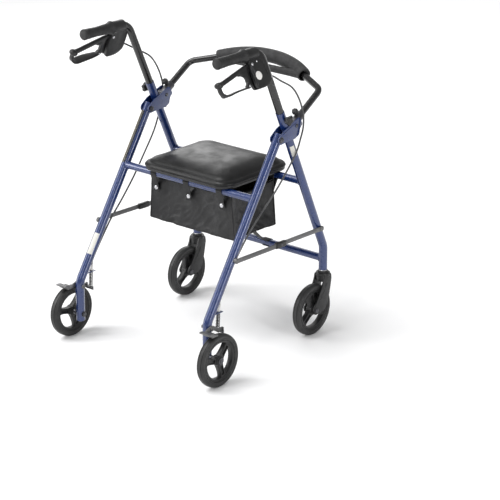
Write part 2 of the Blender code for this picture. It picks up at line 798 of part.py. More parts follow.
def wheel(name, centre, first_spoke):
    """A rim, three broad spokes and a hub, bored for the axle; the first spoke leans back from upright."""
    rim_outer, rim_inner = TYRE_INNER - GAP, TYRE_INNER - 0.0075
    profile = [(rim_outer, 0.0095), (rim_outer, -0.0095), (rim_inner, -0.0085), (rim_inner, 0.0085)]
    middle = Vector(centre)
    rim = turned(profile, centre, (1, 0, 0), WHEEL_SIDES, True)
    hub = cylinder(middle - Vector((0.0128, 0, 0)), middle + Vector((0.0128, 0, 0)), 0.0150)
    for i in range(3):
        angle = math.radians(first_spoke + 120 * i)
        spoke = box((-0.0075, -0.0090, 0.0080), (0.0075, 0.0090, rim_inner + 0.0010))
        spoke.data.transform(Matrix.Translation(middle) @ Matrix.Rotation(angle, 4, "X"))
        hub = join(hub, spoke)
    body = join(rim, hub)
    reach = Vector((0.02, 0, 0))
    body = cut(body, cylinder(middle - reach, middle + reach, AXLE_RADIUS + GAP, PIN_SIDES))
    return part(body, name, BLACK_PLASTIC, centre)


def rear_axle(name, side):
    """A bolt through the rear leg and the hub, with a spacer between them."""
    hub_in, hub_out = REAR_WHEEL_X - 0.0128 - GAP, REAR_WHEEL_X + 0.0128 + GAP
    face_out, face_in = LEG_X + LEG_RADIUS + GAP, LEG_X - LEG_RADIUS - GAP
    profile = [
        (0.0, hub_out + 0.0030),
        (0.0080, hub_out + 0.0026),
        (0.0095, hub_out),
        (AXLE_RADIUS, hub_out),
        (AXLE_RADIUS, hub_in),
        (0.0085, hub_in),
        (0.0085, face_out),
        (AXLE_RADIUS, face_out),
        (AXLE_RADIUS, face_in),
        (0.0070, face_in),
        (0.0070, face_in - 0.0055),
        (0.0, face_in - 0.0055),
    ]
    place = (REAR_WHEEL_Y, WHEEL_RADIUS)
    axle = turned(profile, (0, *place), (side, 0, 0), PIN_SIDES)
    return part(axle, f"rear_axle_{name}", STEEL, at(side, LEG_X, place))


def caster_axle(name, side, centre):
    ends = 0.0232
    inside, outside = 0.0195 + GAP, 0.0128 + GAP
    profile = [
        (0.0, ends),
        (0.0070, ends - 0.0006),
        (0.0070, inside),
        (AXLE_RADIUS, inside),
        (AXLE_RADIUS, outside),
        (AXLE_RADIUS, -inside),
        (0.0070, -inside),
        (0.0070, -ends + 0.0006),
        (0.0, -ends),
    ]
    return part(turned(profile, centre, (side, 0, 0), PIN_SIDES), f"front_axle_{name}", STEEL, centre)


def caster_fork(name, side):
    """A stem, a round crown and two broad blades that reach back to the axle."""
    stem = Vector((LEG_X, CASTER_STEM_Y, 0))
    axle = (CASTER_STEM_Y - CASTER_TRAIL, WHEEL_RADIUS)
    up = Vector((0, 0, 1))
    crown = bevelled(cylinder(stem + up * 0.1520, stem + up * 0.1780, 0.0205), 0.002, 1)
    collar = cylinder(stem + up * 0.1700, stem + up * 0.1840, 0.0150)
    pin = cylinder(stem + up * 0.1750, stem + up * 0.2320, 0.0085, 12)
    outline = arc(axle, 0.0125, 165, 290) + [
        (CASTER_STEM_Y - 0.0260, 0.0655),
        (CASTER_STEM_Y - 0.0110, 0.0720),
        (CASTER_STEM_Y - 0.0020, 0.0850),
        (CASTER_STEM_Y + 0.0060, 0.1080),
        (CASTER_STEM_Y + 0.0130, 0.1400),
        (CASTER_STEM_Y + 0.0180, 0.1600),
        (CASTER_STEM_Y + 0.0150, 0.1760),
        (CASTER_STEM_Y - 0.0150, 0.1760),
        (CASTER_STEM_Y - 0.0190, 0.1560),
        (CASTER_STEM_Y - 0.0270, 0.1400),
        (CASTER_STEM_Y - 0.0450, 0.1100),
    ]
    fork = join(crown, collar, pin)
    for low, high in ((-0.0195, -0.0145), (0.0145, 0.0195)):
        fork = join(fork, plate([outline], LEG_X + low, LEG_X + high))
    reach = Vector((0.04, 0, 0))
    place = Vector((LEG_X, *axle))
    fork = cut(fork, cylinder(place - reach, place + reach, AXLE_RADIUS + GAP, PIN_SIDES))
    fork.data.transform(Matrix.Diagonal((side, 1, 1, 1)))
    return part(baked(fork), f"caster_fork_{name}", BLACK_PLASTIC, (side * LEG_X, CASTER_STEM_Y, 0.17))


# ---------------------------------------------------------------- wheel brakes and cables
def brake_arm(name, side):
    """A lever on the rear leg: the cable lifts its front tab, its shoe presses the tyre, its tail is a pedal."""
    near, far = LEG_X + LEG_RADIUS + GAP, LEG_X + LEG_RADIUS + 0.0043
    y, z = BRAKE_ARM_PIVOT
    outline = [
        (-0.2070, 0.1430),
        (-0.2070, 0.1540),
        (-0.2250, 0.1560),
        (y + 0.010, z + 0.0060),
        (y, z + 0.0090),
        (y - 0.012, z + 0.0055),
        (-0.2800, 0.1600),
        (-0.2800, 0.1550),
        (y - 0.010, z - 0.0050),
        (y + 0.010, z - 0.0070),
        (-0.2250, 0.1430),
    ]
    arm = plate([outline], near, far)
    tab = box((LEG_X - 0.0087, -0.2170, 0.1455), (near + 0.002, -0.2078, 0.1485))
    lip = box((LEG_X - 0.0090, -0.2096, 0.1370), (far + 0.0040, -0.2066, 0.1475))
    wing = box((near + 0.0005, -0.2092, 0.1390), (far + 0.0037, -0.2068, 0.1550))
    sole = [
        (-0.2620, 0.1535),
        (-0.2620, 0.1575),
        (-0.2720, 0.1580),
        (-0.2830, 0.1655),
        (-0.3000, 0.1670),
        (-0.2995, 0.1630),
        (-0.2880, 0.1575),
        (-0.2860, 0.1535),
    ]
    shoe = plate([sole], near + 0.001, REAR_WHEEL_X + 0.0110)
    pivot = Vector((0, y, z))
    outward = Vector((1, 0, 0))
    inner_face = LEG_X - LEG_RADIUS - GAP
    stud = cylinder(pivot + outward * (inner_face - 0.0040), pivot + outward * (far + 0.0035), 0.0030, 8)
    head = cylinder(pivot + outward * (far - 0.001), pivot + outward * (far + 0.0035), 0.0065, 12)
    nut = cylinder(pivot + outward * (inner_face - 0.0045), pivot + outward * inner_face, 0.0058, 6)
    arm = join(arm, bevelled(tab, 0.0006, 1), lip, wing, shoe, stud, head, nut)
    arm.data.transform(Matrix.Diagonal((side, 1, 1, 1)))
    return part(baked(arm), f"brake_arm_{name}", GREY_METAL, at(side, LEG_X, BRAKE_ARM_PIVOT))


def brake_spring(name, side):
    """A compression spring between the cable's anchor and the brake arm's tab."""
    top, bottom = Vector((side * LEG_X, *SPRING_TOP)), Vector((side * LEG_X, *SPRING_BOTTOM))
    turns, per_turn, coil, wire = 7, 7, 0.0050, 0.0008
    path = []
    for i in range(turns * per_turn + 1):
        share = i / (turns * per_turn)
        angle = 2 * math.pi * i / per_turn
        centre = bottom.lerp(top, share)
        path.append(centre + Vector((coil * math.cos(angle), coil * math.sin(angle), 0)))
    return part(tube(path, wire, 4), f"brake_spring_{name}", STEEL, bottom)


def cable_route(side):
    """From the housing's nozzle, out past the bracket, then in and down the front of the rear leg."""
    tip = Vector(NOZZLE_TIP)
    ahead = (tip - Vector(NOZZLE_ROOT)).normalized()
    start = [brake_placement(side) @ (tip + ahead * reach) for reach in (2 * GAP, 0.015)]
    points = [
        (0.2700, 0.0250, 0.8010),
        (0.2660, 0.0790, 0.7700),
        (0.2655, 0.1110, 0.7295),
        (0.2650, 0.1290, 0.6840),
        (0.2650, 0.1300, 0.6480),
        (0.2640, 0.1200, 0.6160),
        (0.2620, 0.1040, 0.5785),
        (0.2570, 0.0770, 0.5395),
        (0.2520, 0.0300, 0.4855),
        (0.2440, -0.0216, 0.4330),
        (0.2400, -0.0759, 0.3795),
        (0.2410, -0.1220, 0.3315),
        (0.2425, -0.1660, 0.2740),
        (0.2440, -0.1965, 0.2290),
        (0.2440, -0.2055, 0.1956),
    ]
    return start + [Vector((side * x, y, z)) for x, y, z in points]


def brake_cable(name, side):
    return part(tube(smooth_path(cable_route(side), 3), CABLE_RADIUS, 8), f"brake_cable_{name}", CABLE)


# ---------------------------------------------------------------- assembly
def build_side(name, side):
    front_leg(name, side)
    rear_leg(name, side)
    side_bracket(name, side)
    bolt(FOLD_PIVOT, side, 0.0040, 0.0075, (0.0158, 0.0215), 0.0070, (0.0158, 0.0210), GREY_METAL,
         f"pivot_bolt_{name}")
    handle_tube(name, side)
    grip(name, side)
    brake_housing(name, side)
    brake_lever(name, side)
    lever_pin(name, side)
    height_knob(name, side)
    backrest_socket(name, side)
    bolt(SOCKET_PIVOT, side, 0.0030, 0.0055, (0.0158, 0.0185), 0.0055, (0.0158, 0.0185), STEEL,
         f"socket_pin_{name}")
    backrest_lock_knob(name, side)
    backrest_release_pin(name, side)
    braces(name, side)
    rear_centre = at(side, REAR_WHEEL_X, (REAR_WHEEL_Y, WHEEL_RADIUS))
    front_centre = at(side, LEG_X, (CASTER_STEM_Y - CASTER_TRAIL, WHEEL_RADIUS))
    for end, centre, first_spoke in (("rear", rear_centre, REAR_SPOKE), ("front", front_centre, FRONT_SPOKE)):
        tyre(f"{end}_tyre_{name}", centre)
        wheel(f"{end}_wheel_{name}", centre, first_spoke)
    rear_axle(name, side)
    caster_axle(name, side, front_centre)
    caster_fork(name, side)
    brake_arm(name, side)
    brake_spring(name, side)
    brake_cable(name, side)


def build():
    for name, side in SIDES:
        build_side(name, side)
    fold_origin = (0.0, *FOLD_PIVOT)
    cross_tube("rear_seat_tube", REAR_SEAT_TUBE, rear_leg_path, origin=fold_origin)
    cross_tube("front_seat_tube", FRONT_SEAT_TUBE, front_leg_path)
    cross_tube("front_lower_tube", FRONT_LOWER_TUBE, front_leg_path)
    backrest_tube()
    backrest_pad()
    seat_base()
    seat_cushion()
    bag()


build()
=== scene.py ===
import math

import bmesh
import bpy
from mathutils.kdtree import KDTree
from mathutils import Matrix, Vector, noise


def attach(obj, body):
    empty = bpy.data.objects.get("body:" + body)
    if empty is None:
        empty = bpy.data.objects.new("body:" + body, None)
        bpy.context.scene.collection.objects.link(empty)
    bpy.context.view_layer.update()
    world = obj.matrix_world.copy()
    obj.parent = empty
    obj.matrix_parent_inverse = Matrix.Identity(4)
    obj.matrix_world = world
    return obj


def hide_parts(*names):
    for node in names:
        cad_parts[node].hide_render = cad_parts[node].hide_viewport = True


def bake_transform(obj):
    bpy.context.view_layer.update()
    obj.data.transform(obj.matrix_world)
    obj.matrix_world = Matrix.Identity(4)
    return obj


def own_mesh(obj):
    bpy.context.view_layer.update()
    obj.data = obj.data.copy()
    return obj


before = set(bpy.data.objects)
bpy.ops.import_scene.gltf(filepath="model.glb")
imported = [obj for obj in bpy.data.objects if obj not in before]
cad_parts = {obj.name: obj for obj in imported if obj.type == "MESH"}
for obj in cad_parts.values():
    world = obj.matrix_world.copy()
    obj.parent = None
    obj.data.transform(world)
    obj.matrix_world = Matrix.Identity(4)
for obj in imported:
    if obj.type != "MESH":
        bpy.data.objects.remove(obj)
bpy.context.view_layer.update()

SIDES = (("right", 1), ("left", -1))

# ---------------------------------------------------------------- dimensions shared with the solids
LEG_X, LEG_R, HANDLE_R, CROSS_R, BACK_R = 0.244, 0.0127, 0.0111, 0.011, 0.0095
FRONT_FOOT, FRONT_BEND, FRONT_TOP = (0.2534, 0.1858), (0.2534, 0.2575), (0.0529, 0.7021)
REAR_FOOT, REAR_BEND, REAR_TOP = (-0.253, 0.0553), (-0.2523, 0.1735), (0.0507, 0.6394)
FOLD_PIVOT, SOCKET_PIVOT = (0.0417, 0.6267), (0.108, 0.654)
REAR_SEAT_TUBE, FRONT_SEAT_TUBE, FRONT_LOWER_TUBE = (-0.054, 0.478), (0.1541, 0.478), (0.2534, 0.22)
GRIP_Z, GRIP_FRONT, GRIP_END, HANDLE_CORNER = 0.889, -0.098, -0.2105, (-0.0315, 0.889)
KNOB_POINT, LEVER_PIVOT, BRAKE_ROLL = (0.0629, 0.68), (-0.088, -0.027), math.radians(25)
BACK_RISE, BACK_CORNER, BACK_FRONT_Y, PAD_END_X = math.radians(31.9), (0.2286, 0.729), 0.2985, 0.1784
BRACE_REAR_PIN, BRACE_FRONT_PIN = (-0.1505, 0.33), (0.2245, 0.322)
WHEEL_R, TYRE_HALF, TYRE_INNER, REAR_WHEEL_X, REAR_WHEEL_Y = 0.0762, 0.0125, 0.06, 0.282, -0.253
STEM_Y, TRAIL, BRAKE_ARM_PIVOT = 0.2534, 0.0513, (-0.2524, 0.162)
SEAT_REAR, SEAT_FRONT, SEAT_HALF, SEAT_CORNER = -0.083, 0.206, 0.166, 0.046
BAG_HALF, BAG_REAR, BAG_FRONT, BAG_LOW, BAG_HIGH = 0.1595, -0.0412, 0.138, 0.3355, 0.47
REAR_STRAPS, FRONT_STRAPS, TIE_STRAP_X, SNAP_Z = (-0.124, 0.0, 0.124), (-0.14, 0.0, 0.14), 0.035, 0.434

# ---------------------------------------------------------------- camera, floor and light
MIDDLE = Vector((0.0, 0.0, 0.5))
scene = bpy.context.scene
scene.view_settings.view_transform = "Standard"
camera = bpy.data.objects.new("camera", bpy.data.cameras.new("camera"))
scene.collection.objects.link(camera)
camera.location = (3.4661, -3.859, 2.1695)
aim = Vector((0.4527, -0.3179, 0.4548)) - camera.location
camera.rotation_euler = aim.to_track_quat("-Z", "Y").to_euler()
camera.data.lens, camera.data.sensor_width = 138.65, 36
scene.camera = camera


def area_light(name, place, size, power):
    """A soft rectangular lamp aimed at the middle of the object."""
    lamp = bpy.data.lights.new(name, "AREA")
    lamp.shape, lamp.size, lamp.size_y, lamp.energy = "RECTANGLE", size[0], size[1], power
    obj = bpy.data.objects.new(name, lamp)
    scene.collection.objects.link(obj)
    obj.location = place
    obj.rotation_euler = (MIDDLE - Vector(place)).to_track_quat("-Z", "Y").to_euler()


area_light("left_strip", (-2.6, -2.2, 1.5), (0.7, 2.4), 42)
area_light("right_strip", (3.3, -0.6, 1.5), (0.5, 2.4), 40)
area_light("back_left_softbox", (-2.9, 2.1, 2.0), (2.2, 2.0), 34)
area_light("front_strip", (1.2, -3.9, 2.6), (0.4, 1.8), 22)
daylight = bpy.data.objects.new("overhead", bpy.data.lights.new("overhead", "SUN"))
daylight.data.energy, daylight.data.angle = 2.3, math.radians(40)
daylight.rotation_euler = Vector((0.35, 0.45, -1.0)).to_track_quat("-Z", "Y").to_euler()
scene.collection.objects.link(daylight)

world = bpy.data.worlds.new("studio")
scene.world = world
world.use_nodes = True
world.node_tree.nodes["Background"].inputs["Color"].default_value = (1, 1, 1, 1)
world.node_tree.nodes["Background"].inputs["Strength"].default_value = 0.42


# ---------------------------------------------------------------- materials
class Look:
    """A Principled material with node helpers; every helper works in the object's own space."""

    def __init__(self, name, color, roughness, metallic=0.0, sockets=None):
        self.material = bpy.data.materials.new(name)
        self.material.use_nodes = True
        self.tree = self.material.node_tree
        self.shader = self.tree.nodes["Principled BSDF"]
        self.color = color
        self.shader.inputs["Base Color"].default_value = (*color, 1)
        self.shader.inputs["Roughness"].default_value = roughness
        self.shader.inputs["Metallic"].default_value = metallic
        for socket, value in (sockets or {}).items():
            self.shader.inputs[socket].default_value = value
        self.normal = None

    def node(self, kind, inputs):
        made = self.tree.nodes.new(kind)
        for socket, value in inputs.items():
            made.inputs[socket].default_value = value
        return made

    def link(self, source, target):
        self.tree.links.new(source, target)

    def place(self, stretch=(1, 1, 1), turn=(0, 0, 0)):
        where = self.node("ShaderNodeTexCoord", {})
        mapping = self.node("ShaderNodeMapping", {"Scale": stretch, "Rotation": turn})
        self.link(where.outputs["Object"], mapping.inputs["Vector"])
        return mapping.outputs["Vector"]

    def noise(self, scale, detail=3.0, stretch=(1, 1, 1)):
        made = self.node("ShaderNodeTexNoise", {"Scale": scale, "Detail": detail})
        self.link(self.place(stretch), made.inputs["Vector"])
        return made.outputs["Fac"]

    def cells(self, scale):
        made = self.node("ShaderNodeTexVoronoi", {"Scale": scale})
        self.link(self.place(), made.inputs["Vector"])
        return made.outputs["Distance"]

    def threads(self, scale, axis, turn=(0, 0, 0)):
        made = self.node("ShaderNodeTexWave", {"Scale": scale, "Distortion": 0.4, "Detail": 1.0})
        made.bands_direction = axis
        self.link(self.place(turn=turn), made.inputs["Vector"])
        return made.outputs["Fac"]

    def woven(self, scale):
        made = self.tree.nodes.new("ShaderNodeMath")
        made.operation = "MULTIPLY"
        self.link(self.threads(scale, "X"), made.inputs[0])
        self.link(self.threads(scale, "Z"), made.inputs[1])
        return made.outputs[0]

    def spread(self, source, low, high, start, end):
        made = self.node("ShaderNodeMapRange", {"From Min": start, "From Max": end, "To Min": low,
                                                "To Max": high})
        self.link(source, made.inputs["Value"])
        return made.outputs["Result"]

    def rough(self, source, low, high):
        """Worn and rubbed patches: roughness drifts between low and high."""
        self.link(self.spread(source, low, high, 0.35, 0.65), self.shader.inputs["Roughness"])
        return self

    def tint(self, source, other):
        """The colour drifts towards another one."""
        mix = self.tree.nodes.new("ShaderNodeMix")
        mix.data_type = "RGBA"
        first, second = [socket for socket in mix.inputs if socket.type == "RGBA"]
        first.default_value, second.default_value = (*self.color, 1), (*other, 1)
        self.link(self.spread(source, 0.0, 1.0, 0.35, 0.7), mix.inputs[0])
        result = [socket for socket in mix.outputs if socket.type == "RGBA"][0]
        self.link(result, self.shader.inputs["Base Color"])
        return self

    def bump(self, source, distance, strength):
        made = self.node("ShaderNodeBump", {"Strength": strength, "Distance": distance})
        self.link(source, made.inputs["Height"])
        if self.normal:
            self.link(self.normal, made.inputs["Normal"])
        self.normal = made.outputs["Normal"]
        self.link(self.normal, self.shader.inputs["Normal"])
        return self


COATED = {"Coat Weight": 1.0, "Coat Roughness": 0.07}
blue = Look("blue_paint", (0.004, 0.02, 0.105), 0.28, 0.25, COATED)
blue.tint(blue.noise(45, 4), (0.0058, 0.026, 0.128)).rough(blue.noise(120, 2), 0.26, 0.36)
blue.bump(blue.noise(160, 2), 0.00002, 0.2)
gloss = Look("gloss_black_coat", (0.004, 0.004, 0.0045), 0.18, 0.0,
             {"Coat Weight": 0.3, "Coat Roughness": 0.06})
gloss.tint(gloss.noise(60, 3), (0.008, 0.008, 0.0085)).rough(gloss.noise(150, 3), 0.18, 0.3)
gloss.bump(gloss.noise(420, 2), 0.00004, 0.2)
plastic = Look("moulded_black", (0.008, 0.008, 0.0085), 0.34, 0.0, {"Specular IOR Level": 0.42})
plastic.tint(plastic.noise(30, 4), (0.014, 0.014, 0.0145)).rough(plastic.noise(90, 3), 0.3, 0.48)
plastic.bump(plastic.cells(1400), 0.0001, 0.3)
rubber = Look("grip_rubber", (0.009, 0.009, 0.0095), 0.5, 0.0, {"Specular IOR Level": 0.4})
rubber.tint(rubber.noise(50, 4), (0.017, 0.017, 0.0175)).rough(rubber.noise(120, 3), 0.42, 0.62)
rubber.bump(rubber.cells(1100), 0.0002, 0.4)
gunmetal = Look("gunmetal", (0.11, 0.11, 0.12), 0.36, 0.75)
gunmetal.tint(gunmetal.noise(70, 4), (0.07, 0.07, 0.078)).rough(gunmetal.noise(180, 3), 0.28, 0.48)
gunmetal.bump(gunmetal.noise(900, 2), 0.0001, 0.3)
bar_grey = Look("plated_grey", (0.15, 0.15, 0.152), 0.4, 0.5)
bar_grey.tint(bar_grey.noise(26, 5, (1, 0.2, 1)), (0.1, 0.1, 0.102)).rough(bar_grey.noise(140, 3), 0.32, 0.5)
bar_grey.bump(bar_grey.noise(420, 3, (1, 0.1, 1)), 0.0001, 0.3)
steel = Look("bright_steel", (0.62, 0.62, 0.64), 0.24, 1.0)
steel.tint(steel.noise(120, 4), (0.48, 0.48, 0.5)).rough(steel.noise(240, 3), 0.18, 0.34)
steel.bump(steel.noise(900, 2), 0.00006, 0.3)
dark_steel = Look("spring_steel", (0.022, 0.021, 0.02), 0.34, 0.5)
dark_steel.tint(dark_steel.noise(160, 4), (0.045, 0.043, 0.04)).bump(dark_steel.noise(900, 2), 0.00008, 0.3)
tyre_look = Look("tyre_rubber", (0.012, 0.012, 0.0123), 0.46, 0.0, {"Specular IOR Level": 0.45})
tyre_look.tint(tyre_look.noise(28, 5), (0.024, 0.024, 0.024)).rough(tyre_look.noise(90, 4), 0.38, 0.58)
tyre_look.bump(tyre_look.noise(700, 3), 0.0002, 0.35)
foam = Look("foam_sleeve", (0.016, 0.016, 0.0165), 0.62, 0.0, {"Sheen Weight": 0.06, "Sheen Roughness": 0.5,
                                                             "Specular IOR Level": 0.35})
foam.tint(foam.noise(36, 5), (0.027, 0.027, 0.028)).rough(foam.noise(80, 3), 0.52, 0.72)
foam.bump(foam.cells(620), 0.0005, 0.35).bump(foam.noise(28, 3), 0.001, 0.25)
vinyl = Look("seat_vinyl", (0.004, 0.004, 0.0042), 0.36, 0.0, {"Specular IOR Level": 0.34})
vinyl.tint(vinyl.noise(9, 5), (0.007, 0.007, 0.0073)).rough(vinyl.noise(24, 4), 0.3, 0.44)
vinyl.bump(vinyl.cells(520), 0.0003, 0.25).bump(vinyl.noise(9, 4, (1.0, 3.0, 1.0)), 0.001, 0.22)
nylon = Look("bag_nylon", (0.0035, 0.0035, 0.004), 0.34, 0.0, {"Specular IOR Level": 0.42,
                                                               "Sheen Weight": 0.02})
nylon.tint(nylon.noise(14, 5), (0.007, 0.007, 0.0078)).rough(nylon.noise(30, 4), 0.3, 0.5)
nylon.bump(nylon.woven(420), 0.00022, 0.35).bump(nylon.noise(18, 5), 0.008, 0.55)
webbing = Look("strap_webbing", (0.008, 0.008, 0.0085), 0.55, 0.0, {"Specular IOR Level": 0.35})
webbing.tint(webbing.noise(60, 4), (0.016, 0.016, 0.017))
webbing.bump(webbing.threads(520, "Z", (0.0, 0.6, 0.0)), 0.0004, 0.5)
sheath = Look("cable_sheath", (0.035, 0.035, 0.037), 0.4)
sheath.tint(sheath.noise(50, 4), (0.058, 0.058, 0.06)).bump(sheath.noise(500, 2), 0.0001, 0.3)
white = Look("off_white_plastic", (0.74, 0.73, 0.71), 0.4)
white.tint(white.noise(80, 4), (0.64, 0.63, 0.61)).bump(white.noise(600, 2), 0.0001, 0.25)
label = Look("plain_label", (0.7, 0.69, 0.64), 0.38)
label.tint(label.noise(40, 4), (0.6, 0.59, 0.54)).bump(label.noise(300, 2), 0.00005, 0.3)
stripe = Look("gold_stripe", (0.36, 0.29, 0.14), 0.34, 0.4)
stripe.tint(stripe.noise(60, 4), (0.28, 0.22, 0.1)).bump(stripe.noise(300, 2), 0.00005, 0.3)

floor_look = Look("pale_floor", (0.9, 0.9, 0.905), 0.75)
floor_look.tint(floor_look.noise(3, 3), (0.915, 0.915, 0.915)).bump(floor_look.noise(60, 3), 0.0004, 0.1)
bpy.ops.mesh.primitive_plane_add(size=60)
floor = bpy.context.object
floor.name = "floor"
floor.data.materials.append(floor_look.material)


# ---------------------------------------------------------------- mesh helpers
def new_object(data):
    obj = bpy.data.objects.new("piece", data)
    scene.collection.objects.link(obj)
    return obj


def bridge(shape, rings, closed=False):
    """Faces between each ring of vertices and the next."""
    pairs = list(zip(rings, rings[1:])) + ([(rings[-1], rings[0])] if closed else [])
    for low, high in pairs:
        for j in range(len(low)):
            k = (j + 1) % len(low)
            shape.faces.new((low[j], low[k], high[k], high[j]))


def from_bmesh(shape):
    bmesh.ops.recalc_face_normals(shape, faces=shape.faces)
    mesh = bpy.data.meshes.new("piece")
    shape.to_mesh(mesh)
    shape.free()
    return new_object(mesh)


def at(side, x, place):
    """A point at distance x from the middle on one side, from its (y, z) place."""
    return Vector((side * x, place[0], place[1]))


def aimed(centre, direction):
    turn = Vector((0, 0, 1)).rotation_difference(Vector(direction)).to_matrix().to_4x4()
    return Matrix.Translation(Vector(centre)) @ turn


def rounded_path(corners, radius, steps=10):
    """Straight runs between the corners, with each corner rounded to the radius."""
    corners = [Vector(c) for c in corners]
    path = [corners[0]]
    for before, corner, after in zip(corners, corners[1:], corners[2:]):
        back, ahead = (before - corner).normalized(), (after - corner).normalized()
        half = back.angle(ahead) / 2
        centre = corner + (back + ahead).normalized() * (radius / math.sin(half))
        first = corner + back * (radius / math.tan(half)) - centre
        last = corner + ahead * (radius / math.tan(half)) - centre
        turn = first.angle(last)
        for i in range(steps + 1):
            share = i / steps
            path.append(centre + first * (math.sin((1 - share) * turn) / math.sin(turn))
                        + last * (math.sin(share * turn) / math.sin(turn)))
    return path + [corners[-1]]


def smooth_path(points, per_span=6):
    """A Catmull-Rom curve through the points."""
    points = [Vector(p) for p in points]
    points = [2 * points[0] - points[1]] + points + [2 * points[-1] - points[-2]]
    path = []
    for p0, p1, p2, p3 in zip(points, points[1:], points[2:], points[3:]):
        for i in range(per_span):
            t = i / per_span
            path.append(0.5 * (2 * p1 + (p2 - p0) * t + (2 * p0 - 5 * p1 + 4 * p2 - p3) * t**2
                               + (3 * p1 - p0 - 3 * p2 + p3) * t**3))
    return path + [points[-2]]


def sweep(path, section, side=None, closed=False, size=None):
    """A closed section of (across, up) points along a path.

    side fixes the across direction, and size gives the two scales of the section at a share of the path.
    """
    path = [Vector(p) for p in path]
    count = len(path)
    shape = bmesh.new()
    rings, across = [], None
    for i, point in enumerate(path):
        if closed:
            ahead = (path[(i + 1) % count] - path[i - 1]).normalized()
        else:
            ahead = (path[min(i + 1, count - 1)] - path[max(i - 1, 0)]).normalized()
        if side is not None:
            across = Vector(side) - ahead * ahead.dot(Vector(side))
        elif across is None:
            across = ahead.orthogonal()
        else:
            across = across - ahead * ahead.dot(across)
        across = across.normalized()
        up = ahead.cross(across)
        wide, tall = size(i / (count - 1)) if size else (1.0, 1.0)
        rings.append([shape.verts.new(point + across * a * wide + up * b * tall) for a, b in section])
    bridge(shape, rings, closed)
    if not closed:
        shape.faces.new(rings[0])
        shape.faces.new(list(reversed(rings[-1])))
    return from_bmesh(shape)


def circle(radius, sides=28):
    return [(radius * math.cos(2 * math.pi * i / sides), radius * math.sin(2 * math.pi * i / sides))
            for i in range(sides)]


def rounded_section(width, height, corner, steps=3):
    points = []
    for cx, cy, start in ((1, 1, 0), (-1, 1, 90), (-1, -1, 180), (1, -1, 270)):
        for i in range(steps + 1):
            angle = math.radians(start + 90 * i / steps)
            points.append((cx * (width / 2 - corner) + corner * math.cos(angle),
                           cy * (height / 2 - corner) + corner * math.sin(angle)))
    return points


def lathe(profile, centre, direction, steps=40, closed=False):
    """Turn a (radius, height) profile about an axis through centre."""
    shape = bmesh.new()
    rings = []
    for radius, height in profile:
        rings.append([shape.verts.new((radius * math.cos(2 * math.pi * i / steps),
                                       radius * math.sin(2 * math.pi * i / steps), height))
                      for i in range(steps)])
    bridge(shape, rings, closed)
    bmesh.ops.remove_doubles(shape, verts=shape.verts, dist=1e-6)
    bmesh.ops.transform(shape, matrix=aimed(centre, direction), verts=shape.verts)
    return from_bmesh(shape)


def rod(start, end, radius, steps):
    length = (end - start).length
    return lathe([(0, 0), (radius, 0), (radius, length), (0, length)], start, end - start, steps)


def box(low, high):
    low, high = Vector(low), Vector(high)
    shape = bmesh.new()
    bmesh.ops.create_cube(shape, size=1.0, matrix=Matrix.Translation((low + high) / 2)
                          @ Matrix.Diagonal((*(high - low), 1.0)))
    return from_bmesh(shape)


def outline_plate(outline, low, high):
    """A flat plate in the side plane, from x = low to high, of a closed (y, z) outline."""
    curve = bpy.data.curves.new("plate", "CURVE")
    curve.dimensions, curve.fill_mode, curve.extrude = "2D", "BOTH", (high - low) / 2
    spline = curve.splines.new("POLY")
    spline.points.add(len(outline) - 1)
    spline.use_cyclic_u = True
    for point, place in zip(spline.points, outline):
        point.co = (*place, 0.0, 1.0)
    obj = new_object(curve)
    obj.matrix_world = (Matrix(((0, 0, 1, 0), (1, 0, 0, 0), (0, 1, 0, 0), (0, 0, 0, 1)))
                        @ Matrix.Translation((0, 0, (low + high) / 2)))
    return settled(obj)


def settled(obj):
    """Apply an object's modifiers and place, and weld it."""
    bpy.context.view_layer.update()
    evaluated = obj.evaluated_get(bpy.context.evaluated_depsgraph_get())
    mesh = bpy.data.meshes.new_from_object(evaluated)
    mesh.transform(obj.matrix_world)
    bpy.data.objects.remove(obj, do_unlink=True)
    shape = bmesh.new()
    shape.from_mesh(mesh)
    bmesh.ops.remove_doubles(shape, verts=shape.verts, dist=1e-6)
    return from_bmesh(shape)


def cut(obj, *tools):
    for tool in tools:
        modifier = obj.modifiers.new("cut", "BOOLEAN")
        modifier.operation, modifier.solver, modifier.object = "DIFFERENCE", "EXACT", tool
        obj = settled(obj)
        bpy.data.objects.remove(tool, do_unlink=True)
    return obj


def bevelled(obj, width, segments=2, angle=35):
    modifier = obj.modifiers.new("bevel", "BEVEL")
    modifier.width, modifier.segments = width, segments
    modifier.limit_method, modifier.angle_limit = "ANGLE", math.radians(angle)
    return settled(obj)


def subdivided(obj):
    modifier = obj.modifiers.new("smooth", "SUBSURF")
    modifier.levels = modifier.render_levels = 1
    return settled(obj)


def gathered(objs):
    """Several closed shells as one mesh."""
    shape = bmesh.new()
    for obj in objs:
        obj.data.transform(obj.matrix_world)
        shape.from_mesh(obj.data)
        bpy.data.objects.remove(obj, do_unlink=True)
    mesh = bpy.data.meshes.new("piece")
    shape.to_mesh(mesh)
    shape.free()
    return new_object(mesh)


def moved(obj, matrix):
    obj.data.transform(matrix)
    if matrix.determinant() < 0:
        obj.data.flip_normals()
    return obj


def mirrored(obj, side):
    return moved(obj, Matrix.Diagonal((-1, 1, 1, 1))) if side < 0 else obj


def arc(centre, radius, start, end, steps=10):
    return [(centre[0] + radius * math.cos(math.radians(start + (end - start) * i / steps)),
             centre[1] + radius * math.sin(math.radians(start + (end - start) * i / steps)))
            for i in range(steps + 1)]


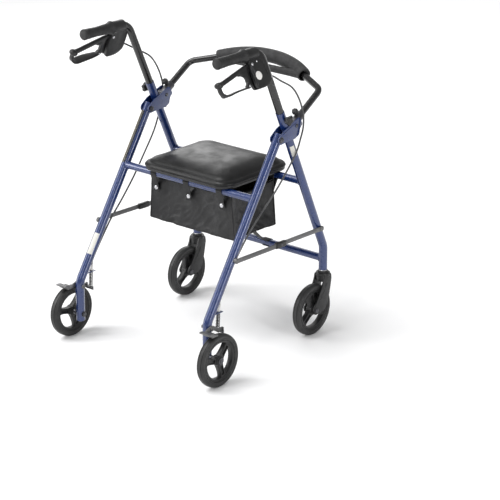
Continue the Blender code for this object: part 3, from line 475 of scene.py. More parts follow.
def finish_piece(obj, name, body, look, nodes=(), sharp=38):
    """Name a piece, give it its look, and make it ride on its body in place of the given nodes."""
    obj.name = name
    obj.data.name = name
    obj.data.materials.clear()
    obj.data.materials.append(look.material)
    obj.data.shade_smooth()
    obj.data.set_sharp_from_angle(angle=math.radians(sharp))
    if body:
        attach(obj, body)
    if nodes:
        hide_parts(*nodes)
    return obj


# ---------------------------------------------------------------- frame tubes
def along_front_leg(distance, side):
    top, bend = at(side, LEG_X, FRONT_TOP), at(side, LEG_X, FRONT_BEND)
    return top + (bend - top).normalized() * distance


def pipe(path, radius, sides=32):
    """A tube with softly rounded rims at its two ends."""
    path = [Vector(p) for p in path]
    first, last = (path[1] - path[0]).normalized(), (path[-1] - path[-2]).normalized()
    rim = 0.0008
    body = [path[0] + first * rim] + path[1:-1] + [path[-1] - last * rim]
    shape = bmesh.new()
    rings, across = [], None
    steps = [(path[0], first, 0.0), (path[0], first, radius - rim)]
    for i, point in enumerate(body):
        before, after = body[max(i - 1, 0)], body[min(i + 1, len(body) - 1)]
        steps.append((point, (after - before).normalized(), radius))
    steps += [(path[-1], last, radius - rim), (path[-1], last, 0.0)]
    for point, ahead, r in steps:
        across = ahead.orthogonal() if across is None else across - ahead * ahead.dot(across)
        across = across.normalized()
        up = ahead.cross(across)
        rings.append([shape.verts.new(point + across * a * r + up * b * r) for a, b in circle(1.0, sides)])
    bridge(shape, rings)
    bmesh.ops.remove_doubles(shape, verts=shape.verts, dist=1e-6)
    return from_bmesh(shape)


def ripple(share):
    """The swelling of a weld bead, ripple by ripple."""
    swell = 1.0 + 0.16 * math.sin(share * 2 * math.pi * 24)
    return swell, swell


def weld_bead(place, side, direction):
    """The rippled bead where a cross tube meets a leg that runs along the (y, z) direction."""
    along = Vector((0, *direction)).normalized()
    points = []
    for i in range(72):
        angle = 2 * math.pi * i / 72
        offset = Vector((0, CROSS_R * math.cos(angle), CROSS_R * math.sin(angle)))
        apart = (offset - along * offset.dot(along)).length
        reach = math.sqrt(max(LEG_R**2 - apart**2, 0.0))
        points.append(Vector((side * (LEG_X - reach - 0.0004), 0, 0)) + Vector((0, *place)) + offset * 1.03)
    return sweep(points, circle(0.0016, 10), closed=True, size=ripple)


def band_on_tube(start, end, radius, facing, half_angle, lift=0.00025):
    """A thin patch stuck on a tube between two points of its axis."""
    start, end = Vector(start), Vector(end)
    ahead = (end - start).normalized()
    out = (Vector(facing) - ahead * ahead.dot(Vector(facing))).normalized()
    shape = bmesh.new()
    rows = []
    for point in (start, end):
        rows.append([shape.verts.new(point + Matrix.Rotation(math.radians(half_angle * (i / 6 - 1)), 3, ahead)
                                     @ (out * (radius + lift))) for i in range(13)])
    for i in range(12):
        shape.faces.new((rows[0][i], rows[0][i + 1], rows[1][i + 1], rows[1][i]))
    obj = from_bmesh(shape)
    modifier = obj.modifiers.new("thick", "SOLIDIFY")
    modifier.thickness, modifier.offset = 0.00015, 0
    return settled(obj)


def build_frame(hand, side):
    leg_path = rounded_path([at(side, LEG_X, p) for p in (FRONT_FOOT, FRONT_BEND, FRONT_TOP)], 0.05, 12)
    leg = pipe(leg_path, LEG_R, 40)
    mouth = rod(along_front_leg(-0.01, side), along_front_leg(0.02, side), HANDLE_R + 0.0004, 40)
    finish_piece(cut(leg, mouth), f"front_leg_tube_{hand}", "front_frame", blue,
                 [f"front_leg_{hand}"])
    rear_path = rounded_path([at(side, LEG_X, p) for p in (REAR_FOOT, REAR_BEND, REAR_TOP)], 0.05, 12)
    # the tab that the brake cable's ferrule is screwed to
    tab = bevelled(box((LEG_X - 0.009, -0.236, 0.1925), (LEG_X + 0.009, -0.196, 0.195)), 0.0008)
    rear_leg = gathered([pipe(rear_path, LEG_R, 40), mirrored(tab, side)])
    finish_piece(rear_leg, f"rear_leg_tube_{hand}", "rear_frame", blue, [f"rear_leg_{hand}"])
    foot = at(side, LEG_X, REAR_FOOT)
    plug = lathe([(0, -0.0022), (0.008, -0.002), (0.0105, -0.0006), (0.0105, 0.001), (0, 0.001)], foot,
                 (0, 0, 1), 32)
    finish_piece(plug, f"rear_leg_plug_{hand}", "rear_frame", plastic)
    slope = (FRONT_TOP[0] - FRONT_BEND[0], FRONT_TOP[1] - FRONT_BEND[1])
    rear_slope = (REAR_TOP[0] - REAR_BEND[0], REAR_TOP[1] - REAR_BEND[1])
    beads = [weld_bead(FRONT_SEAT_TUBE, side, slope), weld_bead(FRONT_LOWER_TUBE, side, (0, 1))]
    finish_piece(gathered(beads), f"front_welds_{hand}", "front_frame", blue, sharp=60)
    finish_piece(weld_bead(REAR_SEAT_TUBE, side, rear_slope), f"rear_weld_{hand}", "rear_frame", blue,
                 sharp=60)
    if side < 0:
        foot, top = at(side, LEG_X, REAR_BEND), at(side, LEG_X, REAR_TOP)
        patch = band_on_tube(foot.lerp(top, 0.15), foot.lerp(top, 0.265), LEG_R, (0.3, -0.95, 0), 36)
        finish_piece(patch, "rear_leg_label", "rear_frame", label)
        for shift, width, look, name in ((0.0, 26, gloss, "strip"), (-0.2, 4, stripe, "line")):
            facing = (-0.02 + shift, -1.0, 0)
            lift = 0.0003 if name == "strip" else 0.0006
            patch = band_on_tube(foot.lerp(top, 0.66), foot.lerp(top, 0.95), LEG_R, facing, width, lift)
            finish_piece(patch, f"rear_leg_{name}", "rear_frame", look)
    else:
        patch = band_on_tube(along_front_leg(0.112, side), along_front_leg(0.146, side), LEG_R,
                             (0.75, -0.62, 0.2), 30)
        finish_piece(patch, "front_leg_label", "front_frame", label)


def build_cross_tubes():
    for name, place, body in (("front_seat_tube", FRONT_SEAT_TUBE, "front_frame"),
                              ("rear_seat_tube", REAR_SEAT_TUBE, "rear_frame"),
                              ("front_lower_tube", FRONT_LOWER_TUBE, "front_frame")):
        bar = pipe([(-LEG_X + 0.006, *place), (LEG_X - 0.006, *place)], CROSS_R, 40)
        finish_piece(bar, f"{name}_bar", body, blue, [name])


def build_bracket(hand, side):
    outline = arc(FOLD_PIVOT, 0.0125, 285, 125, 16) + [
        (0.056, 0.652), (0.102, 0.67), (0.116, 0.6755), (0.123, 0.6745), (0.133, 0.656), (0.1315, 0.652),
        (0.124, 0.644), (0.1218, 0.638), (0.1205, 0.63), (0.118, 0.626), (0.113, 0.623), (0.098, 0.618),
        (0.073, 0.6172)]
    pieces = []
    for low, high in ((-0.0155, -0.013), (0.013, 0.0155)):
        pieces.append(bevelled(outline_plate(outline, LEG_X + low, LEG_X + high), 0.0009, 3))
    pieces.append(bevelled(box((LEG_X - 0.0135, 0.1055, 0.629), (LEG_X + 0.0135, 0.1195, 0.6315)), 0.0006, 2))
    rib = [(LEG_X + 0.0155, 0.05, 0.642), (LEG_X + 0.0155, 0.078, 0.653), (LEG_X + 0.0155, 0.108, 0.664)]
    pieces.append(sweep(smooth_path(rib, 6), circle(0.0013, 10)))
    finish_piece(mirrored(gathered(pieces), side), f"bracket_{hand}", "front_frame", blue,
                 [f"side_bracket_{hand}"])
    pivot, hinge = at(side, LEG_X, FOLD_PIVOT), at(side, LEG_X, SOCKET_PIVOT)
    dome = [(0, 0.0218), (0.003, 0.0215), (0.0056, 0.0203), (0.0072, 0.0182), (0.0076, 0.0165),
            (0.0092, 0.0163), (0.0092, 0.0157), (0.004, 0.0157), (0.004, -0.0157), (0, -0.0157)]
    nut = lathe([(0, -0.0218), (0.0055, -0.0216), (0.0072, -0.0208), (0.0072, -0.0165), (0.009, -0.0163),
                 (0.009, -0.0157), (0, -0.0157)], pivot, (side, 0, 0), 6)
    bolt = gathered([lathe(dome, pivot, (side, 0, 0), 28), nut])
    finish_piece(bolt, f"pivot_bolt_{hand}_detailed", "front_frame", gunmetal,
                 [f"pivot_bolt_{hand}"])
    small = [(0, 0.0187), (0.0034, 0.0184), (0.0052, 0.0172), (0.0055, 0.0158), (0.003, 0.0158),
             (0.003, -0.0158), (0.0055, -0.0158), (0.0052, -0.0172), (0.0034, -0.0184), (0, -0.0187)]
    finish_piece(lathe(small, hinge, (side, 0, 0), 24), f"socket_rivet_{hand}", "front_frame", gunmetal,
                 [f"socket_pin_{hand}"])


# ---------------------------------------------------------------- handles, grips and hand brakes
def brake_place(side):
    return Matrix.Translation((side * LEG_X, 0, GRIP_Z)) @ Matrix.Rotation(-side * BRAKE_ROLL, 4, "Y")


def in_brake(obj, side):
    return moved(mirrored(obj, side), brake_place(side))


def build_handle(hand, side):
    body = f"handle_{hand}"
    path = rounded_path([along_front_leg(0.115, side), at(side, LEG_X, HANDLE_CORNER),
                         at(side, LEG_X, (-0.203, GRIP_Z))], 0.045, 14)
    finish_piece(pipe(path, HANDLE_R, 36), f"handle_bar_{hand}", body, gloss,
                 [f"handle_tube_{hand}"])
    dots = []
    for i in range(5):
        centre = along_front_leg(-0.022 - 0.0254 * i, side) + Vector((side * (HANDLE_R - 0.0006), 0, 0))
        dots.append(lathe([(0.003, 0.0004), (0.0036, 0.0009), (0.0044, 0.0007), (0.0046, 0.0), (0.003, 0.0)],
                          centre, (side, 0, 0), 20, True))
    finish_piece(gathered(dots), f"height_holes_{hand}", body, gunmetal)
    length = GRIP_FRONT - GRIP_END
    profile = [(0.0, 0.0), (0.01, 0.0002), (0.0136, 0.0012), (0.0154, 0.0036), (0.0158, 0.0062),
               (0.015, 0.01)]
    ribs = 17
    for i in range(ribs * 6 + 1):
        share = i / (ribs * 6)
        swell = 0.0146 + 0.0006 * math.cos(2 * math.pi * share) - 0.0003
        groove = 0.00055 * (1 - abs(math.cos(math.pi * share * ribs)) ** 0.5)
        profile.append((swell - groove, 0.013 + share * (length - 0.033)))
    profile += [(0.015, length - 0.017), (0.0164, length - 0.011), (0.0182, length - 0.005),
                (0.0194, length - 0.0025), (0.0195, length - 0.0008), (0.0188, length),
                (HANDLE_R + 0.0003, length)]
    grip = lathe(profile, at(side, LEG_X, (GRIP_END, GRIP_Z)), (0, 1, 0), 48)
    finish_piece(grip, f"ribbed_grip_{hand}", body, rubber, [f"grip_{hand}"], sharp=60)


def bar_size(share):
    """The lever's upper bar grows from its narrow root."""
    swell = 0.62 + 0.38 * min(1.0, share * 4)
    return swell, swell


def band_size(share):
    """The finger band is leaf-shaped: narrow at the housing and round the rear curve."""
    leaf = 0.48 + 0.52 * math.sin(math.pi * min(1.0, share / 0.74)) ** 0.8
    return leaf, 1.0 + 0.3 * max(0.0, share - 0.6)


def build_brake_housing(hand, side):
    """The clamp round the handle, the flat housing, its nozzle and its fittings."""
    body = f"handle_{hand}"
    outline = [(-0.0965, 0.01), (-0.05, 0.01), (-0.04, -0.002), (-0.034, -0.015), (-0.031, -0.035),
               (-0.031, -0.07), (-0.032, -0.075), (-0.0345, -0.0795), (-0.043, -0.087), (-0.056, -0.093),
               (-0.07, -0.095), (-0.088, -0.0945), (-0.0935, -0.092), (-0.096, -0.088), (-0.0985, -0.06),
               (-0.102, -0.038), (-0.0965, -0.023)]
    shell = bevelled(outline_plate(outline, -0.0117, 0.0117), 0.0036, 4, 30)
    shell = cut(shell, box((-0.0038, -0.13, -0.11), (0.0038, -0.071, -0.0135)))
    clamp = lathe([(0.015, 0.0), (0.0164, 0.001), (0.0168, 0.003), (0.0168, 0.0418), (0.016, 0.0438),
                   (HANDLE_R + 0.0003, 0.0448), (HANDLE_R + 0.0003, 0.0)],
                  (0, -0.0968, 0), (0, 1, 0), 40, True)
    lip = [(0.012, -0.0965, -0.0135), (0.012, -0.084, -0.012), (0.012, -0.066, -0.013),
           (0.012, -0.05, -0.023), (0.012, -0.044, -0.04), (0.012, -0.043, -0.064)]
    ridge = sweep(smooth_path(lip, 8), circle(0.0011, 10))
    nozzle = lathe([(0, 0), (0.0052, 0), (0.0052, 0.003), (0.0043, 0.0042), (0.0043, 0.012), (0.0034, 0.0138),
                    (0, 0.0138)],
                   (0, -0.038, -0.0666), (0, 0.0135, -0.004), 24)
    shell = in_brake(gathered([shell, clamp, ridge, nozzle]), side)
    finish_piece(shell, f"brake_body_{hand}", body, plastic, [f"brake_housing_{hand}"])
    seam = [(0.0119, -0.0975, -0.042), (0.0119, -0.095, -0.03), (0.0119, -0.09, -0.046),
            (0.0119, -0.09, -0.07), (0.0119, -0.093, -0.086)]
    groove = in_brake(sweep(smooth_path(seam, 8), circle(0.0006, 8)), side)
    finish_piece(groove, f"brake_seam_{hand}", body, gunmetal)
    disc = lathe([(0, 0.0014), (0.01, 0.0014), (0.0112, 0.0011), (0.0118, 0.0004), (0.0118, -0.0002),
                  (0, -0.0002)],
                 (0.0117, -0.0785, -0.0605), (1, 0, 0), 40)
    finish_piece(in_brake(disc, side), f"brake_disc_{hand}", body, white)
    rivet = lathe([(0, 0.0013), (0.0016, 0.0011), (0.0025, 0.0005), (0.0027, -0.0002), (0, -0.0002)],
                  (0.0117, -0.069, -0.023), (1, 0, 0), 20)
    adjuster = lathe([(0, 0), (0.004, 0), (0.0042, 0.0006), (0.0036, 0.005), (0.003, 0.006), (0, 0.006)],
                     (0, -0.0242, -0.0707), (0, 0.0135, -0.004), 20)
    finish_piece(in_brake(gathered([rivet, adjuster]), side), f"brake_fittings_{hand}", body, steel)


def build_brake_lever(hand, side):
    """The loop lever: an upper bar, a finger band below it, and the root that turns on the pin."""
    pin = lathe([(0, 0.013), (0.0022, 0.0128), (0.0038, 0.0122), (0.0042, 0.0116), (0.0024, 0.0116),
                 (0.0024, -0.0116), (0.0042, -0.0116), (0.0038, -0.0124), (0, -0.0128)], (0, *LEVER_PIVOT),
                (1, 0, 0), 24)
    finish_piece(in_brake(pin, side), f"lever_pin_{hand}_detailed", f"brake_pivot_{hand}", steel,
                 [f"lever_pin_{hand}"])
    bar = [(0, y, h) for y, h in ((-0.088, -0.0262), (-0.106, -0.029), (-0.125, -0.0335), (-0.15, -0.0392),
                                  (-0.18, -0.0462), (-0.206, -0.0522), (-0.224, -0.0548))]
    upper = sweep(smooth_path(bar, 6), rounded_section(0.012, 0.013, 0.0045), side=(1, 0, 0), size=bar_size)
    band = [(0, y, h) for y, h in ((-0.12, -0.0826), (-0.14, -0.0838), (-0.165, -0.0845), (-0.19, -0.0866),
                                   (-0.206, -0.0886), (-0.217, -0.0868), (-0.224, -0.08), (-0.227, -0.072),
                                   (-0.227, -0.062))]
    lower = sweep(smooth_path(band, 6), rounded_section(0.0275, 0.0052, 0.0023), side=(1, 0, 0),
                  size=band_size)
    root = bevelled(outline_plate(
        arc(LEVER_PIVOT, 0.0085, 290, 110, 12) + [(-0.116, -0.029), (-0.118, -0.048), (-0.115, -0.07),
                                                  (-0.126, -0.08), (-0.128, -0.085), (-0.108, -0.0845),
                                                  (-0.1035, -0.078), (-0.1035, -0.045)], -0.0031, 0.0031),
                    0.0009, 2)
    web = bevelled(outline_plate(
        [(-0.1085, -0.029), (-0.111, -0.048), (-0.1125, -0.062), (-0.114, -0.08), (-0.116, -0.085),
         (-0.13, -0.086), (-0.13, -0.0815), (-0.124, -0.079), (-0.1195, -0.072), (-0.1195, -0.059),
         (-0.1225, -0.053), (-0.13, -0.049), (-0.142, -0.047), (-0.142, -0.037)], -0.0058, 0.0058), 0.0016, 3)
    ball = lathe([(0.0125 * math.sin(math.pi * i / 16),
                   -0.009 * math.cos(math.pi * i / 16)) for i in range(17)],
                 (0, -0.225, -0.0555), (0, 0.12, 1), 28)
    cheek = lathe([(0.0, -0.0068), (0.0055, -0.0064), (0.0062, -0.005), (0.0062, 0.005), (0.0055, 0.0064),
                   (0.0, 0.0068)],
                  (0, -0.119, -0.08), (1, 0, 0), 24)
    lever = in_brake(gathered([upper, lower, root, web, ball, cheek]), side)
    finish_piece(lever, f"loop_lever_{hand}", f"brake_lever_{hand}", plastic,
                 [f"brake_lever_{hand}"])
    stud = lathe([(0, 0.0088), (0.0026, 0.0084), (0.0036, 0.0074), (0.0036, -0.0074), (0.0026, -0.0084),
                  (0, -0.0088)],
                 (0, -0.119, -0.08), (1, 0, 0), 20)
    finish_piece(in_brake(stud, side), f"lever_stud_{hand}", f"brake_lever_{hand}", steel)


def lobed_knob(centre, direction, radius, lobes, depth, height, name, body, neck, nodes):
    """A knob with rounded lobes, a domed top and a neck, which is given as (start, end, radius)."""
    shape = bmesh.new()
    steps, rings = lobes * 14, []
    heights = [(0.0, 0.8), (0.1, 0.93), (0.28, 1.0), (0.72, 1.0), (0.88, 0.95), (0.97, 0.84), (1.0, 0.62),
               (0.985, 0.3)]
    for share, grow in [(0.0, 0.0)] + heights + [(0.97, 0.0)]:
        ring = []
        for i in range(steps):
            angle = 2 * math.pi * i / steps
            r = (radius + depth * math.cos(lobes * angle) * min(1.0, grow)) * grow
            ring.append(shape.verts.new((r * math.cos(angle), r * math.sin(angle), neck[1] + share * height)))
        rings.append(ring)
    bridge(shape, rings)
    bmesh.ops.remove_doubles(shape, verts=shape.verts, dist=1e-6)
    bmesh.ops.transform(shape, matrix=aimed(centre, direction), verts=shape.verts)
    stem = lathe([(0, neck[0]), (neck[2], neck[0]), (neck[2] * 1.15, neck[0] + 0.001), (neck[2], neck[1]),
                  (neck[2] * 1.3, neck[1] + 0.001), (0, neck[1] + 0.002)], centre, direction, 24)
    finish_piece(gathered([from_bmesh(shape), stem]), name, body, plastic, nodes, 45)


def build_knobs(hand, side):
    lobed_knob(at(side, LEG_X, KNOB_POINT), (side, 0, 0), 0.0125, 5, 0.0018, 0.012,
               f"lobed_height_knob_{hand}", f"height_knob_{hand}", (LEG_R + 0.0003, 0.019, 0.006),
               [f"height_knob_{hand}"])
    hinge = at(side, LEG_X, SOCKET_PIVOT)
    ahead = Vector((0, math.cos(BACK_RISE), math.sin(BACK_RISE)))
    up = Vector((0, -math.sin(BACK_RISE), math.cos(BACK_RISE)))
    lobed_knob(hinge + ahead * 0.0282, up, 0.0083, 6, 0.0007, 0.013, f"lock_knob_{hand}_detailed",
               f"lock_knob_{hand}", (0.0128, 0.0178, 0.0048), [f"backrest_lock_knob_{hand}"])
    root = at(side, LEG_X, (0.1148, 0.6335))
    pull = lathe([(0, -0.0212), (0.0036, -0.021), (0.0062, -0.0192), (0.007, -0.015), (0.0072, -0.0095),
                  (0.006, -0.0068), (0.0048, -0.0048), (0.003, -0.0046), (0.003, 0.0), (0, 0.0)], root,
                 (0, 0, 1), 28)
    finish_piece(pull, f"release_pull_{hand}", f"release_pin_{hand}", plastic,
                 [f"backrest_release_pin_{hand}"])
    sleeve = lathe([(BACK_R + 0.0002, 0.044), (0.0119, 0.044), (0.0125, 0.0432), (0.0125, 0.003),
                    (0.0118, 0.0), (0, 0.0)], hinge, ahead, 36)
    barrel = lathe([(0, -0.0124), (0.0116, -0.0124), (0.0124, -0.0116), (0.0124, 0.0116), (0.0116, 0.0124),
                    (0, 0.0124)],
                   hinge, (1, 0, 0), 36)
    finish_piece(gathered([sleeve, barrel]), f"socket_{hand}", "backrest", gunmetal,
                 [f"backrest_socket_{hand}"])


# ---------------------------------------------------------------- backrest
def backrest_points():
    hinge = at(1, LEG_X, SOCKET_PIVOT)
    ahead = Vector((0, math.cos(BACK_RISE), math.sin(BACK_RISE)))
    slope = math.tan(BACK_RISE)

    def bow(x):
        y = BACK_FRONT_Y - (BACK_FRONT_Y - 0.2517) * abs(x / PAD_END_X) ** 2.2
        return Vector((x, y, BACK_CORNER[1] + (y - BACK_CORNER[0]) * slope))

    right = rounded_path([hinge + ahead * 0.0145, (LEG_X, *BACK_CORNER), bow(0.155)], 0.026, 14)[:-1]
    across = [bow(PAD_END_X * (16 - i) / 17.6) for i in range(33)]
    left = [Vector((-p.x, p.y, p.z)) for p in reversed(right)]
    return right, across, left


def build_backrest():
    right, across, left = backrest_points()
    finish_piece(pipe(right + across + left, BACK_R, 32), "backrest_bow", "backrest", gloss,
                 ["backrest_tube"])
    shape = bmesh.new()
    rings = []
    profile = [(0, 0.0108), (0, 0.017), (0.0008, 0.0188), (0.003, 0.0198), (0.008, 0.02)]
    lengths = [0.0]
    for a, b in zip(across, across[1:]):
        lengths.append(lengths[-1] + (b - a).length)
    total = lengths[-1]

    def point_at(distance):
        for i in range(len(across) - 1):
            if lengths[i + 1] >= distance or i == len(across) - 2:
                share = (distance - lengths[i]) / (lengths[i + 1] - lengths[i])
                return across[i].lerp(across[i + 1], share), (across[i + 1] - across[i]).normalized()

    middle = [(0.008 + (total - 0.016) * i / 90, 0.02) for i in range(1, 90)]
    stations = profile + middle + [(total - d, r) for d, r in reversed(profile)]
    up = Vector((0, -math.sin(BACK_RISE), math.cos(BACK_RISE)))
    for distance, radius in stations:
        point, ahead = point_at(min(max(distance, 0.0), total))
        out = ahead.cross(up).normalized()
        ring = []
        for i in range(40):
            angle = 2 * math.pi * i / 40
            uneven = 1 + 0.012 * noise.noise(Vector((point.x * 16, math.cos(angle), math.sin(angle))))
            slit = 1 - 0.16 * math.exp(-((angle - math.radians(262)) / 0.1) ** 2) * (radius > 0.015)
            r = radius * uneven * slit
            ring.append(shape.verts.new(point + out * math.cos(angle) * r + up * math.sin(angle) * r))
        rings.append(ring)
    bridge(shape, rings, True)
    pad = subdivided(from_bmesh(shape))
    finish_piece(pad, "foam_pad", "backrest", foam, ["backrest_pad"], 60)


# ---------------------------------------------------------------- braces
def build_braces(hand, side):
    elbow = ((BRACE_REAR_PIN[0] + BRACE_FRONT_PIN[0]) / 2, (BRACE_REAR_PIN[1] + BRACE_FRONT_PIN[1]) / 2)
    face = LEG_X + LEG_R + 0.0003
    for end, pin, near, tip in (("front", BRACE_FRONT_PIN, face + 0.0015, face + 0.0067),
                                ("rear", BRACE_REAR_PIN, face + 0.0052, face + 0.0097)):
        direction = math.degrees(math.atan2(elbow[1] - pin[1], elbow[0] - pin[0]))
        outline = arc(pin, 0.0065, direction + 90, direction + 270, 12) + arc(elbow, 0.0065, direction - 90,
                                                                              direction + 90, 12)
        bar = bevelled(outline_plate(outline, near, near + 0.003), 0.0009, 3)
        fold = Vector((0, elbow[0] - pin[0], elbow[1] - pin[1]))
        start, stop = Vector((near + 0.0031, *pin)) + fold * 0.14, Vector((near + 0.0031,
                                                                           *elbow)) - fold * 0.16
        crease = sweep([start, start.lerp(stop, 0.5), stop], rounded_section(0.0008, 0.0046, 0.00035),
                       side=(1, 0, 0))
        stack = lathe([(0, -near - 0.004 + face), (0, 0), (0.0074, 0), (0.0078, 0.0004),
                       (0.0078, tip - face - 0.0015), (0.0066, tip - face - 0.0004), (0.003, tip - face),
                       (0, tip - face)], (face, *pin), (1, 0, 0), 28)
        finish_piece(mirrored(gathered([bar, crease, stack]), side), f"brace_bar_{end}_{hand}",
                     f"brace_{end}_{hand}", bar_grey, [f"brace_{end}_{hand}"])
    x = face + 0.0015
    direction = Vector((0, BRACE_FRONT_PIN[0] - BRACE_REAR_PIN[0],
                        BRACE_FRONT_PIN[1] - BRACE_REAR_PIN[1])).normalized()
    middle = Vector((x + 0.0034, *elbow))
    knuckle = bevelled(sweep([middle - direction * 0.0205, middle, middle + direction * 0.0205],
                             rounded_section(0.0112, 0.0172, 0.003, 4), side=(1, 0, 0)), 0.001, 2, 60)
    finish_piece(mirrored(knuckle, side), f"brace_knuckle_{hand}", f"brace_front_{hand}", plastic)
    rivet = lathe([(0, 0.0018), (0.0026, 0.0015), (0.0042, 0.0006), (0.0046, -0.0004), (0, -0.0004)],
                  middle + Vector((0.0056, 0, 0)), (1, 0, 0), 24)
    finish_piece(mirrored(rivet, side), f"brace_rivet_{hand}", f"brace_front_{hand}", gunmetal)


# ---------------------------------------------------------------- wheels
def wheel_meshes():
    """One tyre and one wheel about X at the origin, to be copied to the four corners."""
    h, r = TYRE_HALF, WHEEL_R
    tread = [(TYRE_INNER, h * 0.8), (TYRE_INNER + 0.0012, h * 0.9), (TYRE_INNER + 0.004, h * 0.93),
             (TYRE_INNER + 0.0048, h * 0.89), (TYRE_INNER + 0.0056, h * 0.95), (r - 0.0075, h),
             (r - 0.0045, h * 0.97), (r - 0.002, h * 0.8), (r - 0.0008, h * 0.58), (r - 0.0006, h * 0.5),
             (r - 0.0018, h * 0.46), (r - 0.0018, h * 0.4), (r - 0.0002, h * 0.36), (r, h * 0.18), (r, 0.0)]
    profile = tread + [(radius, -x) for radius, x in reversed(tread[:-1])]
    tyre = lathe(profile, (0, 0, 0), (1, 0, 0), 96, True)
    rim_in = TYRE_INNER - 0.0075
    rim = lathe([(TYRE_INNER - 0.0003, 0.0096), (TYRE_INNER - 0.002, 0.0104), (TYRE_INNER - 0.0036, 0.0098),
                 (TYRE_INNER - 0.005, 0.009), (rim_in, 0.0086), (rim_in - 0.0006, 0.007),
                 (rim_in - 0.0006, -0.007), (rim_in, -0.0086), (TYRE_INNER - 0.005, -0.009),
                 (TYRE_INNER - 0.0036, -0.0098), (TYRE_INNER - 0.002, -0.0104),
                 (TYRE_INNER - 0.0003, -0.0096)], (0, 0, 0), (1, 0, 0), 96, True)
    hub = lathe([(0.0044, 0.0128), (0.0105, 0.0128), (0.0112, 0.012), (0.0112, 0.0104), (0.0142, 0.0098),
                 (0.015, 0.0088), (0.015, -0.0088), (0.0142, -0.0098), (0.0112, -0.0104), (0.0112, -0.012),
                 (0.0105, -0.0128), (0.0044, -0.0128)], (0, 0, 0), (1, 0, 0), 48, True)
    pieces = [rim, hub]
    for i in range(3):
        wide_hub, wide_rim = 0.0112, 0.009
        outline = [(-wide_hub, 0.008), (wide_hub, 0.008), (0.0084, 0.024), (0.008, 0.038), (wide_rim, 0.047),
                   (wide_rim + 0.0035, rim_in + 0.0008), (-wide_rim - 0.0035, rim_in + 0.0008),
                   (-wide_rim, 0.047), (-0.008, 0.038), (-0.0084, 0.024)]
        spoke = outline_plate(outline, -0.0076, 0.0076)
        pocket = [(-0.0056, 0.019), (0.0056, 0.019), (0.005, 0.03), (0.0052, 0.047), (-0.0052, 0.047),
                  (-0.005, 0.03)]
        spoke = cut(spoke, outline_plate(pocket, 0.003, 0.02), outline_plate(pocket, -0.02, -0.003))
        spoke = bevelled(spoke, 0.0008, 2)
        pieces.append(moved(spoke, Matrix.Rotation(math.radians(120 * i), 4, "X")))
    return tyre, gathered(pieces)


def copy_of(obj, matrix):
    return moved(new_object(obj.data.copy()), matrix)


def build_wheels():
    tyre, wheel = wheel_meshes()
    for hand, side in SIDES:
        rear = at(side, REAR_WHEEL_X, (REAR_WHEEL_Y, WHEEL_R))
        front = at(side, LEG_X, (STEM_Y - TRAIL, WHEEL_R))
        for end, centre, lean in (("rear", rear, -42), ("front", front, 8)):
            place = Matrix.Translation(centre) @ Matrix.Rotation(math.radians(lean), 4, "X")
            finish_piece(copy_of(tyre, place), f"{end}_tread_{hand}", f"{end}_wheel_{hand}", tyre_look,
                         [f"{end}_tyre_{hand}"], 50)
            finish_piece(copy_of(wheel, place), f"{end}_spokes_{hand}", f"{end}_wheel_{hand}", plastic,
                         [f"{end}_wheel_{hand}"])
        hub_in, hub_out = REAR_WHEEL_X - 0.0131, REAR_WHEEL_X + 0.0131
        place = Vector((0, REAR_WHEEL_Y, WHEEL_R))
        shaft = lathe([(0, hub_out + 0.0032), (0.0046, hub_out + 0.003), (0.0052, hub_out + 0.0024),
                       (0.0052, hub_out + 0.0008), (0.0092, hub_out + 0.0006), (0.0095, hub_out),
                       (0.004, hub_out), (0.004, hub_in), (0.0085, hub_in), (0.0085, LEG_X + LEG_R + 0.0003),
                       (0.004, LEG_X + LEG_R + 0.0003), (0.004, LEG_X - LEG_R - 0.0003),
                       (0.0085, LEG_X - LEG_R - 0.0003), (0.0085, LEG_X - LEG_R - 0.0012),
                       (0.0, LEG_X - LEG_R - 0.0012)],
                      place, (side, 0, 0), 28)
        nut = lathe([(0, 0.0), (0.0064, 0.0), (0.007, 0.0006), (0.007, 0.004), (0.006, 0.0046), (0, 0.0046)],
                    place + Vector((side * (LEG_X - LEG_R - 0.0058), 0, 0)), (side, 0, 0), 6)
        finish_piece(gathered([shaft, nut]), f"rear_axle_bolt_{hand}", "rear_frame", gunmetal,
                     [f"rear_axle_{hand}"])
    for obj in (tyre, wheel):
        bpy.data.objects.remove(obj, do_unlink=True)


